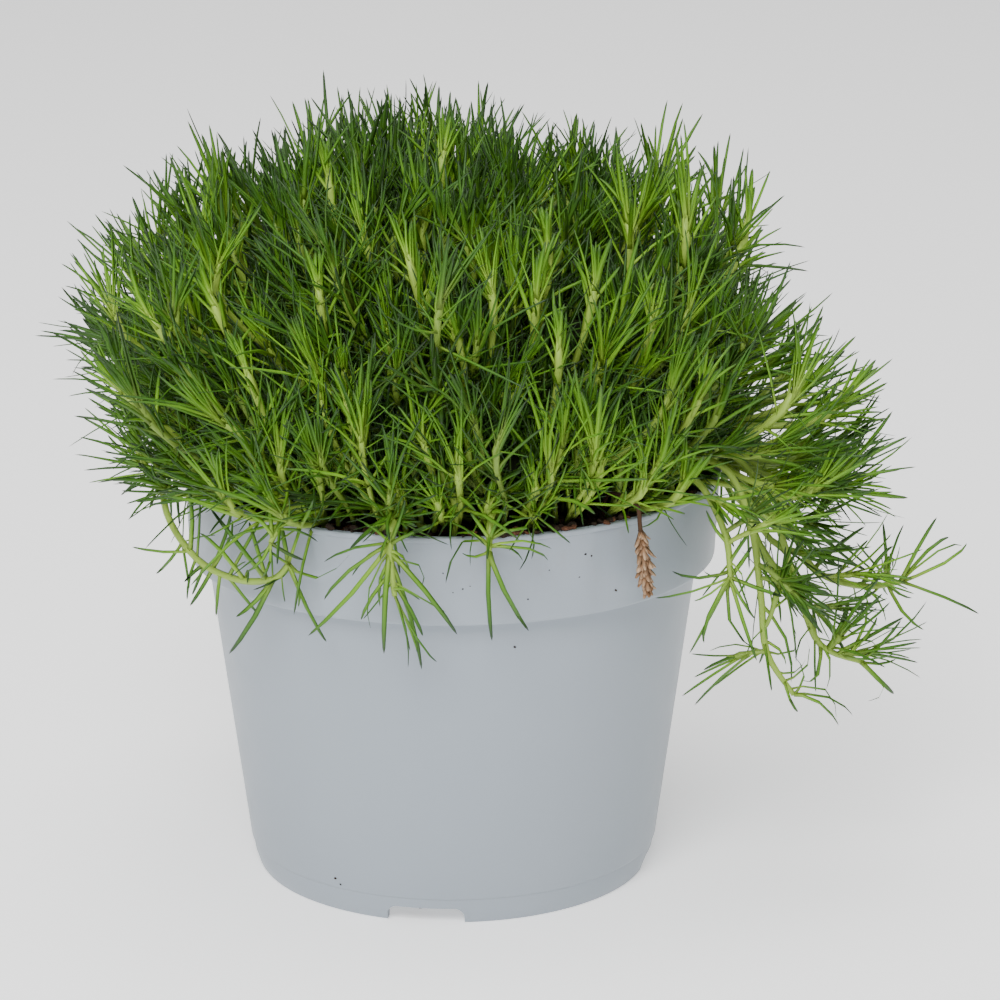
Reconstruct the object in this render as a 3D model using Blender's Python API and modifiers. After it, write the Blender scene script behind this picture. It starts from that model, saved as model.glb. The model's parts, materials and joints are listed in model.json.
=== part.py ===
"""Potted pearlwort: a cushion of needle-leaved shoots in a pale blue-grey nursery pot.

Units are metres, +Z is up, and the pot stands on the plane z = 0. The pieces are modelled
round the pot's axis. The last step moves them all so that the origin is the middle of the
whole plant's footprint.
"""

import math
import random

import bmesh
import bpy
from mathutils import Matrix, Vector, noise

MM = 0.001

# Gap between pieces that touch in the real thing
GAP = 0.3 * MM

# The origin is rounded to this step from the middle of the footprint
ORIGIN_STEP = 0.5 * MM

# Points closer than this are one point
MERGE = 0.001 * MM

# Pot: a 12 cm nursery pot
RIM_RADIUS = 60.0 * MM
POT_HEIGHT = 92.3 * MM
WALL = 1.0 * MM
LIP_HEIGHT = 1.1 * MM
LIP_PROUD = 0.4 * MM
LIP_WIDTH = 1.7 * MM
COLLAR_HEIGHT = 19.6 * MM
COLLAR_LOW_RADIUS = 58.65 * MM
BODY_TOP_RADIUS = 54.9 * MM
CREASE_HEIGHT = 6.0 * MM
CREASE_RADIUS = 46.1 * MM
CREASE_DEPTH = 0.3 * MM
FOOT_RADIUS = 44.4 * MM
FOOT_WIDTH = 2.6 * MM
FLOOR_UNDERSIDE = 4.2 * MM
FLOOR_TOP = 5.4 * MM
POT_SEGMENTS = 40
EDGE_CHAMFER = 0.3 * MM
SMOOTH_BELOW = 30.0

# Drain slots in the foot and holes in the floor
SLOT_COUNT = 4
SLOT_WIDTH = 17.0 * MM
SLOT_HEIGHT = 3.7 * MM
SLOT_CORNER = 2.2 * MM
SLOT_CORNER_STEPS = 3
SLOT_AZIMUTH = -98.0
DRAIN_COUNT = 6
DRAIN_RADIUS = 4.5 * MM
DRAIN_SIDES = 16
DRAIN_RING_RADIUS = 27.0 * MM

# Compost
SOIL_EDGE_HEIGHT = 88.6 * MM
SOIL_MIDDLE_HEIGHT = 91.0 * MM
SOIL_RINGS = 5
SOIL_LUMP = 0.9 * MM
SOIL_LUMP_SIZE = 9.0 * MM

# Cushion of shoots
CORE_RADIUS = 38.0 * MM
CORE_CENTRE = 101.0 * MM
CORE_TOP = 136.0 * MM
CORE_BOTTOM = 93.5 * MM
CORE_SPIKE = 0.24
CORE_SPIKE_SIZE = 0.11
CROWN_RADIUS = 31.0 * MM
CROWN_DEPTH = 6.0 * MM
CROWN_SIDES = 24
SHOOT_COUNT = 88
SHOOT_LOWEST = -3.0
SHOOT_BASE_RADIUS = 32.0 * MM
SHOOT_BASE_LOWEST = 17.0
SHOOT_BASE_SHARE = 0.75

# Pairs of leaves on a shoot: distance below the stem's end and tilt away from the stem
LEAF_PAIRS = (
    (1.8 * MM, 31.0), (5.0 * MM, 50.0), (11.5 * MM, 58.0), (19.0 * MM, 62.0), (27.5 * MM, 64.0)
)
LEAF_SINK = 0.3 * MM
LEAF_TILT_SCATTER = 7.0
LEAF_ROLL_SCATTER = 5.0
TUFT_SHARE = 0.93
AZIMUTH_SCATTER = 7.0

# The cushion's outline, as the reach of its leaf tips from the middle of the rim
REACH_RIGHT = 92.0 * MM
REACH_LEFT = 103.0 * MM
REACH_TOP_RIGHT = 76.0 * MM
REACH_TOP_LEFT = 84.0 * MM
REACH_SQUARENESS = 2.2
REACH_SCATTER = 5.0 * MM

# Close over the rim the cushion is narrower, except at the right, where stems hang. This is
# the share of its reach that it loses there, and the elevations between which that ends.
LOW_PULL = 0.26
LOW_FROM = 2.0
LOW_TO = 26.0

# The front stands steeply over the rim. Shares of the reach that it loses low down and high
# up, the elevations between which they change, and how much higher its lowest shoots start.
FRONT_LOW_PULL = 0.30
FRONT_HIGH_PULL = 0.18
FRONT_FROM = 8.0
FRONT_TO = 50.0
FRONT_LIFT = 12.0

# Leaves and stems
LEAF_LENGTH = 17.0 * MM
LEAF_LENGTH_SPREAD = (0.85, 1.1)
LEAF_RADIUS = 0.48 * MM
STEM_RADIUS = 0.95 * MM
STEM_TIP_SHARE = 0.9
TRAILER_RADIUS = 0.8 * MM
TRAILER_LEAF_LENGTH = 14.0 * MM
TRAILER_LEAF_FORWARD = 0.7
HOLE_SIDES = 8
HOLE_LOOSENESS = 2.0
HOLE_CLEARANCE = 20.0 * MM

# Points along a stretch that are tested against the pot
CHECK_STEPS = 24

SEED = 14
GOLDEN_ANGLE = math.radians(137.508)
UP = Vector((0.0, 0.0, 1.0))
RIM_MIDDLE = Vector((0.0, 0.0, POT_HEIGHT))

# Stems that hang over the rim. Points are in millimetres from the pot's axis and the
# standing plane. A stem rises out of the compost at its first point. Each tuft is the
# number of a stem point, and the leaf tips round it.
TRAILERS = {
    "trailer_left": {
        "stem": [(-50, -11, 86), (-52, -12, 96), (-62, -17, 97), (-62, -25, 88),
                 (-55, -35, 80.5), (-46, -45, 79), (-38, -51.5, 81)],
        "tufts": [(3, [(-73, -20, 90), (-70, -32, 96)]),
                  (4, [(-70, -30, 82), (-62, -36, 68), (-57, -40, 67), (-65, -33, 74)]),
                  (6, [(-49, -50, 65), (-45, -54, 71), (-53, -43, 91), (-30, -62, 84),
                       (-27, -61, 72), (-43, -54, 96)])],
    },
    "trailer_front_left": {
        "stem": [(-27, -43, 86), (-28, -45, 96), (-34, -54, 97), (-38, -58, 91)],
        "tufts": [(3, [(-50, -56, 83), (-46, -62, 95), (-32, -68, 84)])],
    },
    "trailer_front_middle": {
        "stem": [(-10, -49, 86), (-10, -51, 96), (-12, -61, 97), (-13, -65, 91),
                 (-12, -67, 82)],
        "tufts": [(3, [(-29, -64, 86), (-29, -66, 73), (-16, -67, 69), (-1, -70, 75),
                       (3, -70, 91), (-22, -70, 97)]),
                  (4, [(-7, -70, 66), (-12, -71, 67), (-6, -70, 72)])],
    },
    "trailer_front": {
        "stem": [(9, -49, 86), (9, -51, 96), (8, -61, 97), (7.5, -65, 91)],
        "tufts": [(3, [(8, -68, 72), (16, -67, 75), (20, -67, 93), (18, -72, 88),
                       (-1, -66, 80)])],
    },
    "trailer_right_near": {
        "stem": [(42, -28, 86), (43, -29, 97), (52, -36, 98), (58, -42, 88),
                 (59, -45, 79)],
        "tufts": [(3, [(70, -50, 92), (47, -56, 90)]),
                  (4, [(43, -53, 77), (46, -59, 84), (51, -53, 64), (64, -50, 62),
                       (57, -55, 65), (72, -52, 72)])],
    },
    "trailer_right_low": {
        "stem": [(45, -21, 86), (46, -21.5, 98), (58, -28, 99), (64, -32, 88),
                 (66.5, -34, 72), (68, -35, 59), (74, -36, 49.5)],
        "tufts": [(4, [(78, -42, 64), (60, -44, 62)]),
                  (6, [(87, -40, 46), (83, -44, 42), (75, -42, 37), (85, -32, 55)])],
    },
    "trailer_right_outer": {
        "stem": [(47, -14, 86), (48, -14.3, 98), (61, -19, 99), (70, -22, 86),
                 (76, -22, 68), (81, -21, 56), (90, -21, 52)],
        "tufts": [(3, [(84, -28, 90), (80, -16, 94)]),
                  (5, [(83, -28, 45), (91, -15, 63)]),
                  (6, [(98, -21, 44), (101, -24, 54), (94, -29, 43), (100, -14, 61)])],
    },
    "trailer_right_long": {
        "stem": [(48.5, -6, 86), (49.5, -6, 98), (63, -9, 98), (73, -13, 84),
                 (80, -13, 71), (91, -10, 66), (100, -7, 66)],
        "tufts": [(4, [(88, -20, 60), (92, -4, 78)]),
                  (5, [(102, -18, 72), (98, -4, 53)]),
                  (6, [(107, -6, 81), (114, -6, 74), (116, -9, 61), (106, -8, 53)])],
    },
    "trailer_right_back": {
        "stem": [(42, 24, 86), (43, 24.5, 97), (54, 31, 98), (61, 35, 88),
                 (64, 37, 76), (69, 40, 70)],
        "tufts": [(3, [(73, 35, 93), (63, 49, 90)]),
                  (5, [(80, 44, 60), (84, 40, 73), (69, 52, 62), (70, 42, 54)])],
    },
    "trailer_back": {
        "stem": [(-6, 48.5, 86), (-6, 50, 97), (-8, 62, 98), (-9, 68, 89), (-9, 70, 78)],
        "tufts": [(3, [(6, 77, 95), (-24, 76, 93)]),
                  (4, [(-18, 76, 64), (-2, 78, 63), (-9, 80, 70), (-24, 73, 76)])],
    },
    "trailer_left_back": {
        "stem": [(-42, 24, 86), (-43, 24.5, 97), (-54, 31, 98), (-62, 36, 90),
                 (-66, 39, 82)],
        "tufts": [(3, [(-76, 34, 96), (-66, 50, 93)]),
                  (4, [(-78, 44, 72), (-80, 36, 82), (-68, 52, 74), (-66, 43, 67)])],
    },
}

# Dried flower spray that hangs on the front of the collar
DRIED_STEM = [(32, -38, 86), (33, -39, 95.5), (38.5, -49, 96.5), (39.5, -51, 91.5),
              (41, -50.8, 78.5)]
DRIED_SCALES = 14
DRIED_SCALE_LENGTH = 3.2 * MM
DRIED_STEM_RADIUS = 0.6 * MM
DRIED_SCALE_RADIUS = 0.55 * MM
DRIED_DROOP = (0.6, 1.4)

COLOURS = {
    "pot": ((0.40, 0.44, 0.47), 0.42),
    "soil": ((0.035, 0.022, 0.014), 0.95),
    "plant": ((0.10, 0.26, 0.03), 0.5),
    "dried": ((0.30, 0.17, 0.08), 0.85),
}


def clear_scene():
    for obj in list(bpy.data.objects):
        bpy.data.objects.remove(obj, do_unlink=True)


def new_collection(name):
    collection = bpy.data.collections.new(name)
    bpy.context.scene.collection.children.link(collection)
    return collection


def material(name):
    colour, roughness = COLOURS[name]
    made = bpy.data.materials.new(name)
    made.use_nodes = True
    shader = made.node_tree.nodes["Principled BSDF"]
    shader.inputs["Base Color"].default_value = (*colour, 1.0)
    shader.inputs["Roughness"].default_value = roughness
    shader.inputs["Metallic"].default_value = 0.0
    return made


def add_object(name, mesh, collection):
    obj = bpy.data.objects.new(name, mesh)
    collection.objects.link(obj)
    return obj


def evaluated_mesh(obj):
    bpy.context.view_layer.update()
    graph = bpy.context.evaluated_depsgraph_get()
    return bpy.data.meshes.new_from_object(obj.evaluated_get(graph), depsgraph=graph)


def apply_modifiers(obj):
    mesh = evaluated_mesh(obj)
    obj.modifiers.clear()
    obj.data = mesh


def turned(name, profile, collection):
    """Turn a profile of (radius, height) points, which ends on the axis at both ends."""
    mesh = bpy.data.meshes.new(name)
    points = [(radius, 0.0, height) for radius, height in profile]
    edges = [(i, i + 1) for i in range(len(points) - 1)]
    mesh.from_pydata(points, edges, [])
    obj = add_object(name, mesh, collection)
    screw = obj.modifiers.new("turn", "SCREW")
    screw.axis = "Z"
    screw.angle = math.tau
    screw.steps = POT_SEGMENTS
    screw.render_steps = POT_SEGMENTS
    screw.use_merge_vertices = True
    screw.merge_threshold = MERGE
    return obj


def primitive(name, build, collection):
    """An object whose mesh is filled by one bmesh call."""
    bm = bmesh.new()
    build(bm)
    mesh = bpy.data.meshes.new(name)
    bm.to_mesh(mesh)
    bm.free()
    return add_object(name, mesh, collection)


def hide_cutter(obj):
    obj.hide_render = True
    obj.display_type = "WIRE"


def boolean(obj, operation, collection, solver="EXACT"):
    """Cut or join an object with every object of a collection."""
    modifier = obj.modifiers.new(operation.lower(), "BOOLEAN")
    modifier.operation = operation
    modifier.solver = solver
    modifier.operand_type = "COLLECTION"
    modifier.collection = collection


def keep_main_body(obj):
    """Fill the small hollows that fusing seals and drop loose scraps."""
    bm = bmesh.new()
    bm.from_mesh(obj.data)
    bodies = []
    left = set(bm.verts)
    while left:
        body = {left.pop()}
        front = list(body)
        while front:
            vertex = front.pop()
            near = {edge.other_vert(vertex) for edge in vertex.link_edges} - body
            body |= near
            front.extend(near)
        left -= body
        bodies.append(body)
    main_body = max(bodies, key=len)
    spare = [vertex for vertex in bm.verts if vertex not in main_body]
    bmesh.ops.delete(bm, geom=spare, context="VERTS")
    bm.to_mesh(obj.data)
    bm.free()


def fuse(obj, pieces):
    """Join a node's repeats to it, then remove the loose pieces."""
    # EXACT is slow on hundreds of crossing needles
    boolean(obj, "UNION", pieces, "MANIFOLD")
    apply_modifiers(obj)
    keep_main_body(obj)
    for piece in list(pieces.objects):
        bpy.data.objects.remove(piece, do_unlink=True)
    bpy.data.collections.remove(pieces)


def pot_profile():
    """The pot's section: up the inside from the floor, over the lip, down the outside."""
    collar_foot = POT_HEIGHT - COLLAR_HEIGHT
    floor_radius = CREASE_RADIUS - WALL
    inside = [
        (0.0, FLOOR_TOP),
        (floor_radius, FLOOR_TOP),
        (BODY_TOP_RADIUS - WALL, collar_foot + WALL),
        (COLLAR_LOW_RADIUS - WALL, collar_foot + WALL),
        (RIM_RADIUS - LIP_PROUD - WALL, POT_HEIGHT - 2 * LIP_HEIGHT),
        (RIM_RADIUS - LIP_WIDTH, POT_HEIGHT - LIP_HEIGHT),
        (RIM_RADIUS - LIP_WIDTH, POT_HEIGHT),
    ]
    outside = [
        (RIM_RADIUS - EDGE_CHAMFER, POT_HEIGHT),
        (RIM_RADIUS, POT_HEIGHT - EDGE_CHAMFER),
        (RIM_RADIUS, POT_HEIGHT - LIP_HEIGHT + EDGE_CHAMFER),
        (RIM_RADIUS - LIP_PROUD, POT_HEIGHT - LIP_HEIGHT),
        (COLLAR_LOW_RADIUS, collar_foot),
        (BODY_TOP_RADIUS, collar_foot),
        (CREASE_RADIUS, CREASE_HEIGHT),
        (CREASE_RADIUS - CREASE_DEPTH, CREASE_HEIGHT - EDGE_CHAMFER),
        (FOOT_RADIUS, 0.0),
        (FOOT_RADIUS - FOOT_WIDTH, 0.0),
        (FOOT_RADIUS - FOOT_WIDTH, FLOOR_UNDERSIDE),
        (0.0, FLOOR_UNDERSIDE),
    ]
    return inside + outside


def drain_cutters(collection):
    """Round-cornered slots through the foot, and a ring of holes through the floor."""
    for index in range(SLOT_COUNT):
        angle = math.radians(SLOT_AZIMUTH) + math.tau * index / SLOT_COUNT
        size = (4 * FOOT_WIDTH, SLOT_WIDTH, 2 * SLOT_HEIGHT)
        cutter = primitive(
            f"slot_{index + 1}",
            lambda bm: bmesh.ops.create_cube(bm, size=1.0, matrix=Matrix.Diagonal((*size, 1.0))),
            collection,
        )
        bevel = cutter.modifiers.new("corners", "BEVEL")
        bevel.width = SLOT_CORNER
        bevel.segments = SLOT_CORNER_STEPS
        bevel.limit_method = "WEIGHT"
        along = cutter.data.attributes.new("bevel_weight_edge", "FLOAT", "EDGE")
        for edge in cutter.data.edges:
            a, b = (cutter.data.vertices[i].co for i in edge.vertices)
            runs_outward = abs(a.x - b.x) > 2 * FOOT_WIDTH
            along.data[edge.index].value = 1.0 if runs_outward else 0.0
        cutter.location = (FOOT_RADIUS * math.cos(angle), FOOT_RADIUS * math.sin(angle), 0.0)
        cutter.rotation_euler = (0.0, 0.0, angle)
        hide_cutter(cutter)
    for index in range(DRAIN_COUNT):
        angle = math.tau * (index + 0.5) / DRAIN_COUNT
        cutter = primitive(
            f"drain_{index + 1}",
            lambda bm: bmesh.ops.create_cone(
                bm, cap_ends=True, segments=DRAIN_SIDES, radius1=DRAIN_RADIUS,
                radius2=DRAIN_RADIUS, depth=4 * (FLOOR_TOP - FLOOR_UNDERSIDE),
            ),
            collection,
        )
        cutter.location = (
            DRAIN_RING_RADIUS * math.cos(angle),
            DRAIN_RING_RADIUS * math.sin(angle),
            (FLOOR_TOP + FLOOR_UNDERSIDE) / 2,
        )
        hide_cutter(cutter)


def make_pot(parts, materials):
    cutters = new_collection("pot cutters")
    drain_cutters(cutters)
    pot = turned("pot", pot_profile(), parts)
    boolean(pot, "DIFFERENCE", cutters)
    pot.data.materials.append(materials["pot"])
    apply_modifiers(pot)
    for polygon in pot.data.polygons:
        polygon.use_smooth = True
    pot.data.set_sharp_from_angle(angle=math.radians(SMOOTH_BELOW))
    return pot


def soil_height(radius, x, y):
    """The compost's surface: a low mound with lumps that die away at the pot's wall."""
    edge = RIM_RADIUS - LIP_WIDTH - GAP
    share = min(radius / edge, 1.0)
    mound = SOIL_MIDDLE_HEIGHT + (SOIL_EDGE_HEIGHT - SOIL_MIDDLE_HEIGHT) * share**2
    lump = noise.noise(Vector((x, y, 0.0)) / SOIL_LUMP_SIZE)
    return mound + SOIL_LUMP * lump * (1.0 - share**8)


def make_soil(parts, materials, holes):
    """Compost that fills the pot, with plain holes where stems stand in it."""
    collar_foot = POT_HEIGHT - COLLAR_HEIGHT
    wall = WALL + GAP
    edge = RIM_RADIUS - LIP_WIDTH - GAP
    top = [(edge * i / SOIL_RINGS, SOIL_MIDDLE_HEIGHT) for i in range(SOIL_RINGS)]
    side = [
        (edge, SOIL_EDGE_HEIGHT),
        (COLLAR_LOW_RADIUS - wall, collar_foot + wall),
        (BODY_TOP_RADIUS - wall, collar_foot + wall),
        (CREASE_RADIUS - wall, FLOOR_TOP + GAP),
        (0.0, FLOOR_TOP + GAP),
    ]
    soil = turned("soil", top + side, parts)
    soil.data.materials.append(materials["soil"])
    apply_modifiers(soil)
    for vertex in soil.data.vertices:
        radius = math.hypot(vertex.co.x, vertex.co.y)
        if vertex.co.z > SOIL_EDGE_HEIGHT - GAP and radius < edge - GAP:
            vertex.co.z = soil_height(radius, vertex.co.x, vertex.co.y)
    boolean(soil, "DIFFERENCE", holes)
    apply_modifiers(soil)
    return soil


def stem_hole(name, place, radius, depth, holes, segments):
    """A plain upright hole that runs down from the compost's surface."""
    height = depth + HOLE_CLEARANCE
    cutter = primitive(
        name,
        lambda bm: bmesh.ops.create_cone(
            bm, cap_ends=True, segments=segments, radius1=radius, radius2=radius, depth=height
        ),
        holes,
    )
    cutter.location = (place.x, place.y, place.z - depth + height / 2)
    hide_cutter(cutter)


class Shapes:
    """Shared meshes of one unit length that every leaf and stem is scaled from."""

    def __init__(self):
        self.needle = self.spike("needle", 3, 0.0)
        self.stem = self.spike("stem", 4, STEM_TIP_SHARE)

    @staticmethod
    def spike(name, sides, tip_share):
        bm = bmesh.new()
        bmesh.ops.create_cone(
            bm, cap_ends=True, segments=sides, radius1=1.0, radius2=tip_share, depth=1.0,
            matrix=Matrix.Translation((0.0, 0.0, 0.5)),
        )
        mesh = bpy.data.meshes.new(name)
        bm.to_mesh(mesh)
        bm.free()
        return mesh

    @staticmethod
    def place(mesh, start, end, radius, turn, collection):
        """An object that runs from start to end, turned round its own length."""
        along = end - start
        obj = add_object(mesh.name, mesh, collection)
        aim = along.to_track_quat("Z", "Y").to_matrix().to_4x4()
        size = Matrix.Diagonal((radius, radius, along.length, 1.0))
        obj.matrix_world = Matrix.Translation(start) @ aim @ Matrix.Rotation(turn, 4, "Z") @ size
        return obj


def any_turn(rng):
    return rng.uniform(0.0, math.tau)


def segment_distance(a, b, c, d):
    """Least distance between the segments a-b and c-d."""
    u, v, w = b - a, d - c, a - c
    uu, uv, vv = u.dot(u), u.dot(v), v.dot(v)
    uw, vw = u.dot(w), v.dot(w)
    bottom = uu * vv - uv * uv
    s = 0.0 if bottom < 1e-18 else min(max((uv * vw - vv * uw) / bottom, 0.0), 1.0)
    t = (uv * s + vw) / vv
    if t < 0.0:
        t, s = 0.0, min(max(-uw / uu, 0.0), 1.0)
    elif t > 1.0:
        t, s = 1.0, min(max((uv - uw) / uu, 0.0), 1.0)
    return (w + u * s - v * t).length


class Space:
    """The stretches that are already taken, so that no two nodes cross."""

    def __init__(self):
        self.taken = []

    def add(self, node, start, end, radius):
        self.taken.append((node, start, end, radius))

    def clear_of_nodes(self, node, start, end, radius):
        for other, a, b, other_radius in self.taken:
            if other == node:
                continue
            if segment_distance(start, end, a, b) < radius + other_radius + 2 * GAP:
                return False
        return True

    @staticmethod
    def clear_of_pot(start, end, radius):
        """Whether a stretch stays out of the pot and off the compost."""
        for step in range(CHECK_STEPS + 1):
            point = start.lerp(end, step / CHECK_STEPS)
            across = math.hypot(point.x, point.y)
            if across < RIM_RADIUS + radius + GAP and point.z < POT_HEIGHT + radius + GAP:
                return False
        return True

    def is_free(self, node, start, end, radius):
        if not self.clear_of_pot(start, end, radius):
            return False
        return self.clear_of_nodes(node, start, end, radius)


def smooth_route(points, per_span=2):
    """Points along a smooth curve through the given ones."""
    route = []
    for i in range(len(points) - 1):
        before = points[max(i - 1, 0)]
        a, b = points[i], points[i + 1]
        after = points[min(i + 2, len(points) - 1)]
        for step in range(per_span):
            t = step / per_span
            bend = (
                2 * a
                + (b - before) * t
                + (2 * before - 5 * a + 4 * b - after) * t**2
                + (3 * a - before - 3 * b + after) * t**3
            )
            route.append(bend / 2)
    route.append(points[-1])
    return route


def tube(name, route, radius, collection):
    """A four-sided stem along a route, as one closed mesh."""
    curve = bpy.data.curves.new(name, "CURVE")
    curve.dimensions = "3D"
    curve.bevel_depth = radius
    curve.bevel_resolution = 0
    curve.use_fill_caps = True
    spline = curve.splines.new("POLY")
    spline.points.add(len(route) - 1)
    for spot, point in zip(spline.points, route):
        spot.co = (*point, 1.0)
    draft = bpy.data.objects.new(name, curve)
    collection.objects.link(draft)
    mesh = evaluated_mesh(draft)
    bpy.data.objects.remove(draft, do_unlink=True)
    bm = bmesh.new()
    bm.from_mesh(mesh)
    bmesh.ops.remove_doubles(bm, verts=bm.verts, dist=MERGE)
    bmesh.ops.recalc_face_normals(bm, faces=bm.faces)
    bm.to_mesh(mesh)
    bm.free()
    return add_object(name, mesh, collection)


def stem_route(points):
    """A smooth route through a stem's points, which are in millimetres."""
    return smooth_route([Vector(point) * MM for point in points])


def claim_stems(space):
    """Take the room of every hanging stem before any leaf is placed."""
    for name, plan in TRAILERS.items():
        route = stem_route(plan["stem"])
        for a, b in zip(route, route[1:]):
            space.add(name, a, b, TRAILER_RADIUS)
    route = stem_route(DRIED_STEM)
    for a, b in zip(route, route[1:]):
        space.add("dried_spray", a, b, DRIED_STEM_RADIUS)


def side_leaves(name, points, shapes, space, rng, pieces):
    """A pair of leaves halfway between the stem's points, past where it clears the rim."""
    for number in range(2, len(points) - 1):
        start = points[number].lerp(points[number + 1], 0.5)
        along = (points[number + 1] - points[number]).normalized()
        across = along.orthogonal().normalized()
        turn = any_turn(rng)
        for half in (0.0, math.pi):
            side = Matrix.Rotation(turn + half, 3, along) @ across
            way = (side + along * TRAILER_LEAF_FORWARD).normalized()
            end = start + way * TRAILER_LEAF_LENGTH
            if space.is_free(name, start.lerp(end, 0.1), end, LEAF_RADIUS):
                shapes.place(shapes.needle, start, end, LEAF_RADIUS, any_turn(rng), pieces)
                space.add(name, start, end, LEAF_RADIUS)


def make_trailer(name, plan, shapes, space, rng, parts, materials, holes):
    """One stem that hangs over the rim, with its tufts of leaves."""
    points = [Vector(point) * MM for point in plan["stem"]]
    stem = tube(name, stem_route(plan["stem"]), TRAILER_RADIUS, parts)
    pieces = new_collection(f"{name} leaves")
    side_leaves(name, points, shapes, space, rng, pieces)
    for number, tips in plan["tufts"]:
        start = points[number]
        for tip in tips:
            end = Vector(tip) * MM
            if space.clear_of_nodes(name, start, end, LEAF_RADIUS):
                shapes.place(shapes.needle, start, end, LEAF_RADIUS, any_turn(rng), pieces)
                space.add(name, start, end, LEAF_RADIUS)
    fuse(stem, pieces)
    stem.data.materials.clear()
    stem.data.materials.append(materials["plant"])
    stem_hole(f"{name} hole", points[0], HOLE_LOOSENESS * TRAILER_RADIUS, GAP, holes, HOLE_SIDES)


def make_dried_spray(shapes, space, rng, parts, materials, holes):
    """A dried flower head on a thin stalk, hanging over the rim."""
    name = "dried_spray"
    points = [Vector(point) * MM for point in DRIED_STEM]
    spray = tube(name, stem_route(DRIED_STEM), DRIED_STEM_RADIUS, parts)
    pieces = new_collection(f"{name} scales")
    top, bottom = points[-2], points[-1]
    outward = Vector((top.x, top.y, 0.0)).normalized()
    for index in range(DRIED_SCALES):
        share = (index + 0.5) / DRIED_SCALES
        start = top.lerp(bottom, share)
        angle = index * GOLDEN_ANGLE
        side = UP.cross(outward) * math.cos(angle) + outward * abs(math.sin(angle))
        way = (side - UP * rng.uniform(*DRIED_DROOP)).normalized()
        end = start + way * DRIED_SCALE_LENGTH
        shapes.place(shapes.needle, start, end, DRIED_SCALE_RADIUS, any_turn(rng), pieces)
        space.add(name, start, end, DRIED_SCALE_RADIUS)
    fuse(spray, pieces)
    spray.data.materials.clear()
    spray.data.materials.append(materials["dried"])
    stem_hole(f"{name} hole", points[0], HOLE_LOOSENESS * DRIED_STEM_RADIUS, GAP, holes, HOLE_SIDES)


def aim(azimuth, elevation):
    """The direction at an azimuth round the pot and an elevation above the rim."""
    flat = math.cos(elevation)
    return Vector((flat * math.cos(azimuth), flat * math.sin(azimuth), math.sin(elevation)))


def frontness(azimuth):
    """1 towards the front, falling to 0 at the sides and behind."""
    return max(-math.sin(azimuth), 0.0) ** 2


def smooth_rise(elevation, low, high):
    """0 below one elevation in degrees, 1 above another, with a smooth change between."""
    share = min(max((math.degrees(elevation) - low) / (high - low), 0.0), 1.0)
    return share * share * (3.0 - 2.0 * share)


def pull(azimuth, elevation):
    """The share of its reach that the cushion loses in one direction."""
    rightness = max(math.cos(azimuth), 0.0) ** 2
    low = LOW_PULL * (1.0 - rightness) * (1.0 - smooth_rise(elevation, LOW_FROM, LOW_TO))
    high = smooth_rise(elevation, FRONT_FROM, FRONT_TO)
    front = FRONT_LOW_PULL + (FRONT_HIGH_PULL - FRONT_LOW_PULL) * high
    return max(low, front * frontness(azimuth) * math.cos(elevation))


def reach(azimuth, elevation):
    """How far the leaf tips reach from the middle of the rim, in one direction."""
    leftness = (1.0 - math.cos(azimuth) * math.cos(elevation)) / 2
    side = REACH_RIGHT + (REACH_LEFT - REACH_RIGHT) * leftness
    top = REACH_TOP_RIGHT + (REACH_TOP_LEFT - REACH_TOP_RIGHT) * leftness
    flat = abs(math.cos(elevation) / side) ** REACH_SQUARENESS
    rise = abs(math.sin(elevation) / top) ** REACH_SQUARENESS
    whole = (flat + rise) ** (-1.0 / REACH_SQUARENESS)
    return whole * (1.0 - pull(azimuth, elevation))


def leaning(frame, tilt, roll):
    """A direction tilted away from a stem's own length, rolled round it."""
    side = math.sin(tilt)
    return frame @ Vector((side * math.cos(roll), side * math.sin(roll), math.cos(tilt)))


def place_leaf(start, way, rng, shapes, space, pieces):
    """One needle of the cushion, left out where another node or the pot is in its way."""
    end = start + way * LEAF_LENGTH * rng.uniform(*LEAF_LENGTH_SPREAD)
    if space.is_free("cushion", start, end, LEAF_RADIUS):
        shapes.place(shapes.needle, start, end, LEAF_RADIUS, any_turn(rng), pieces)


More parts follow.
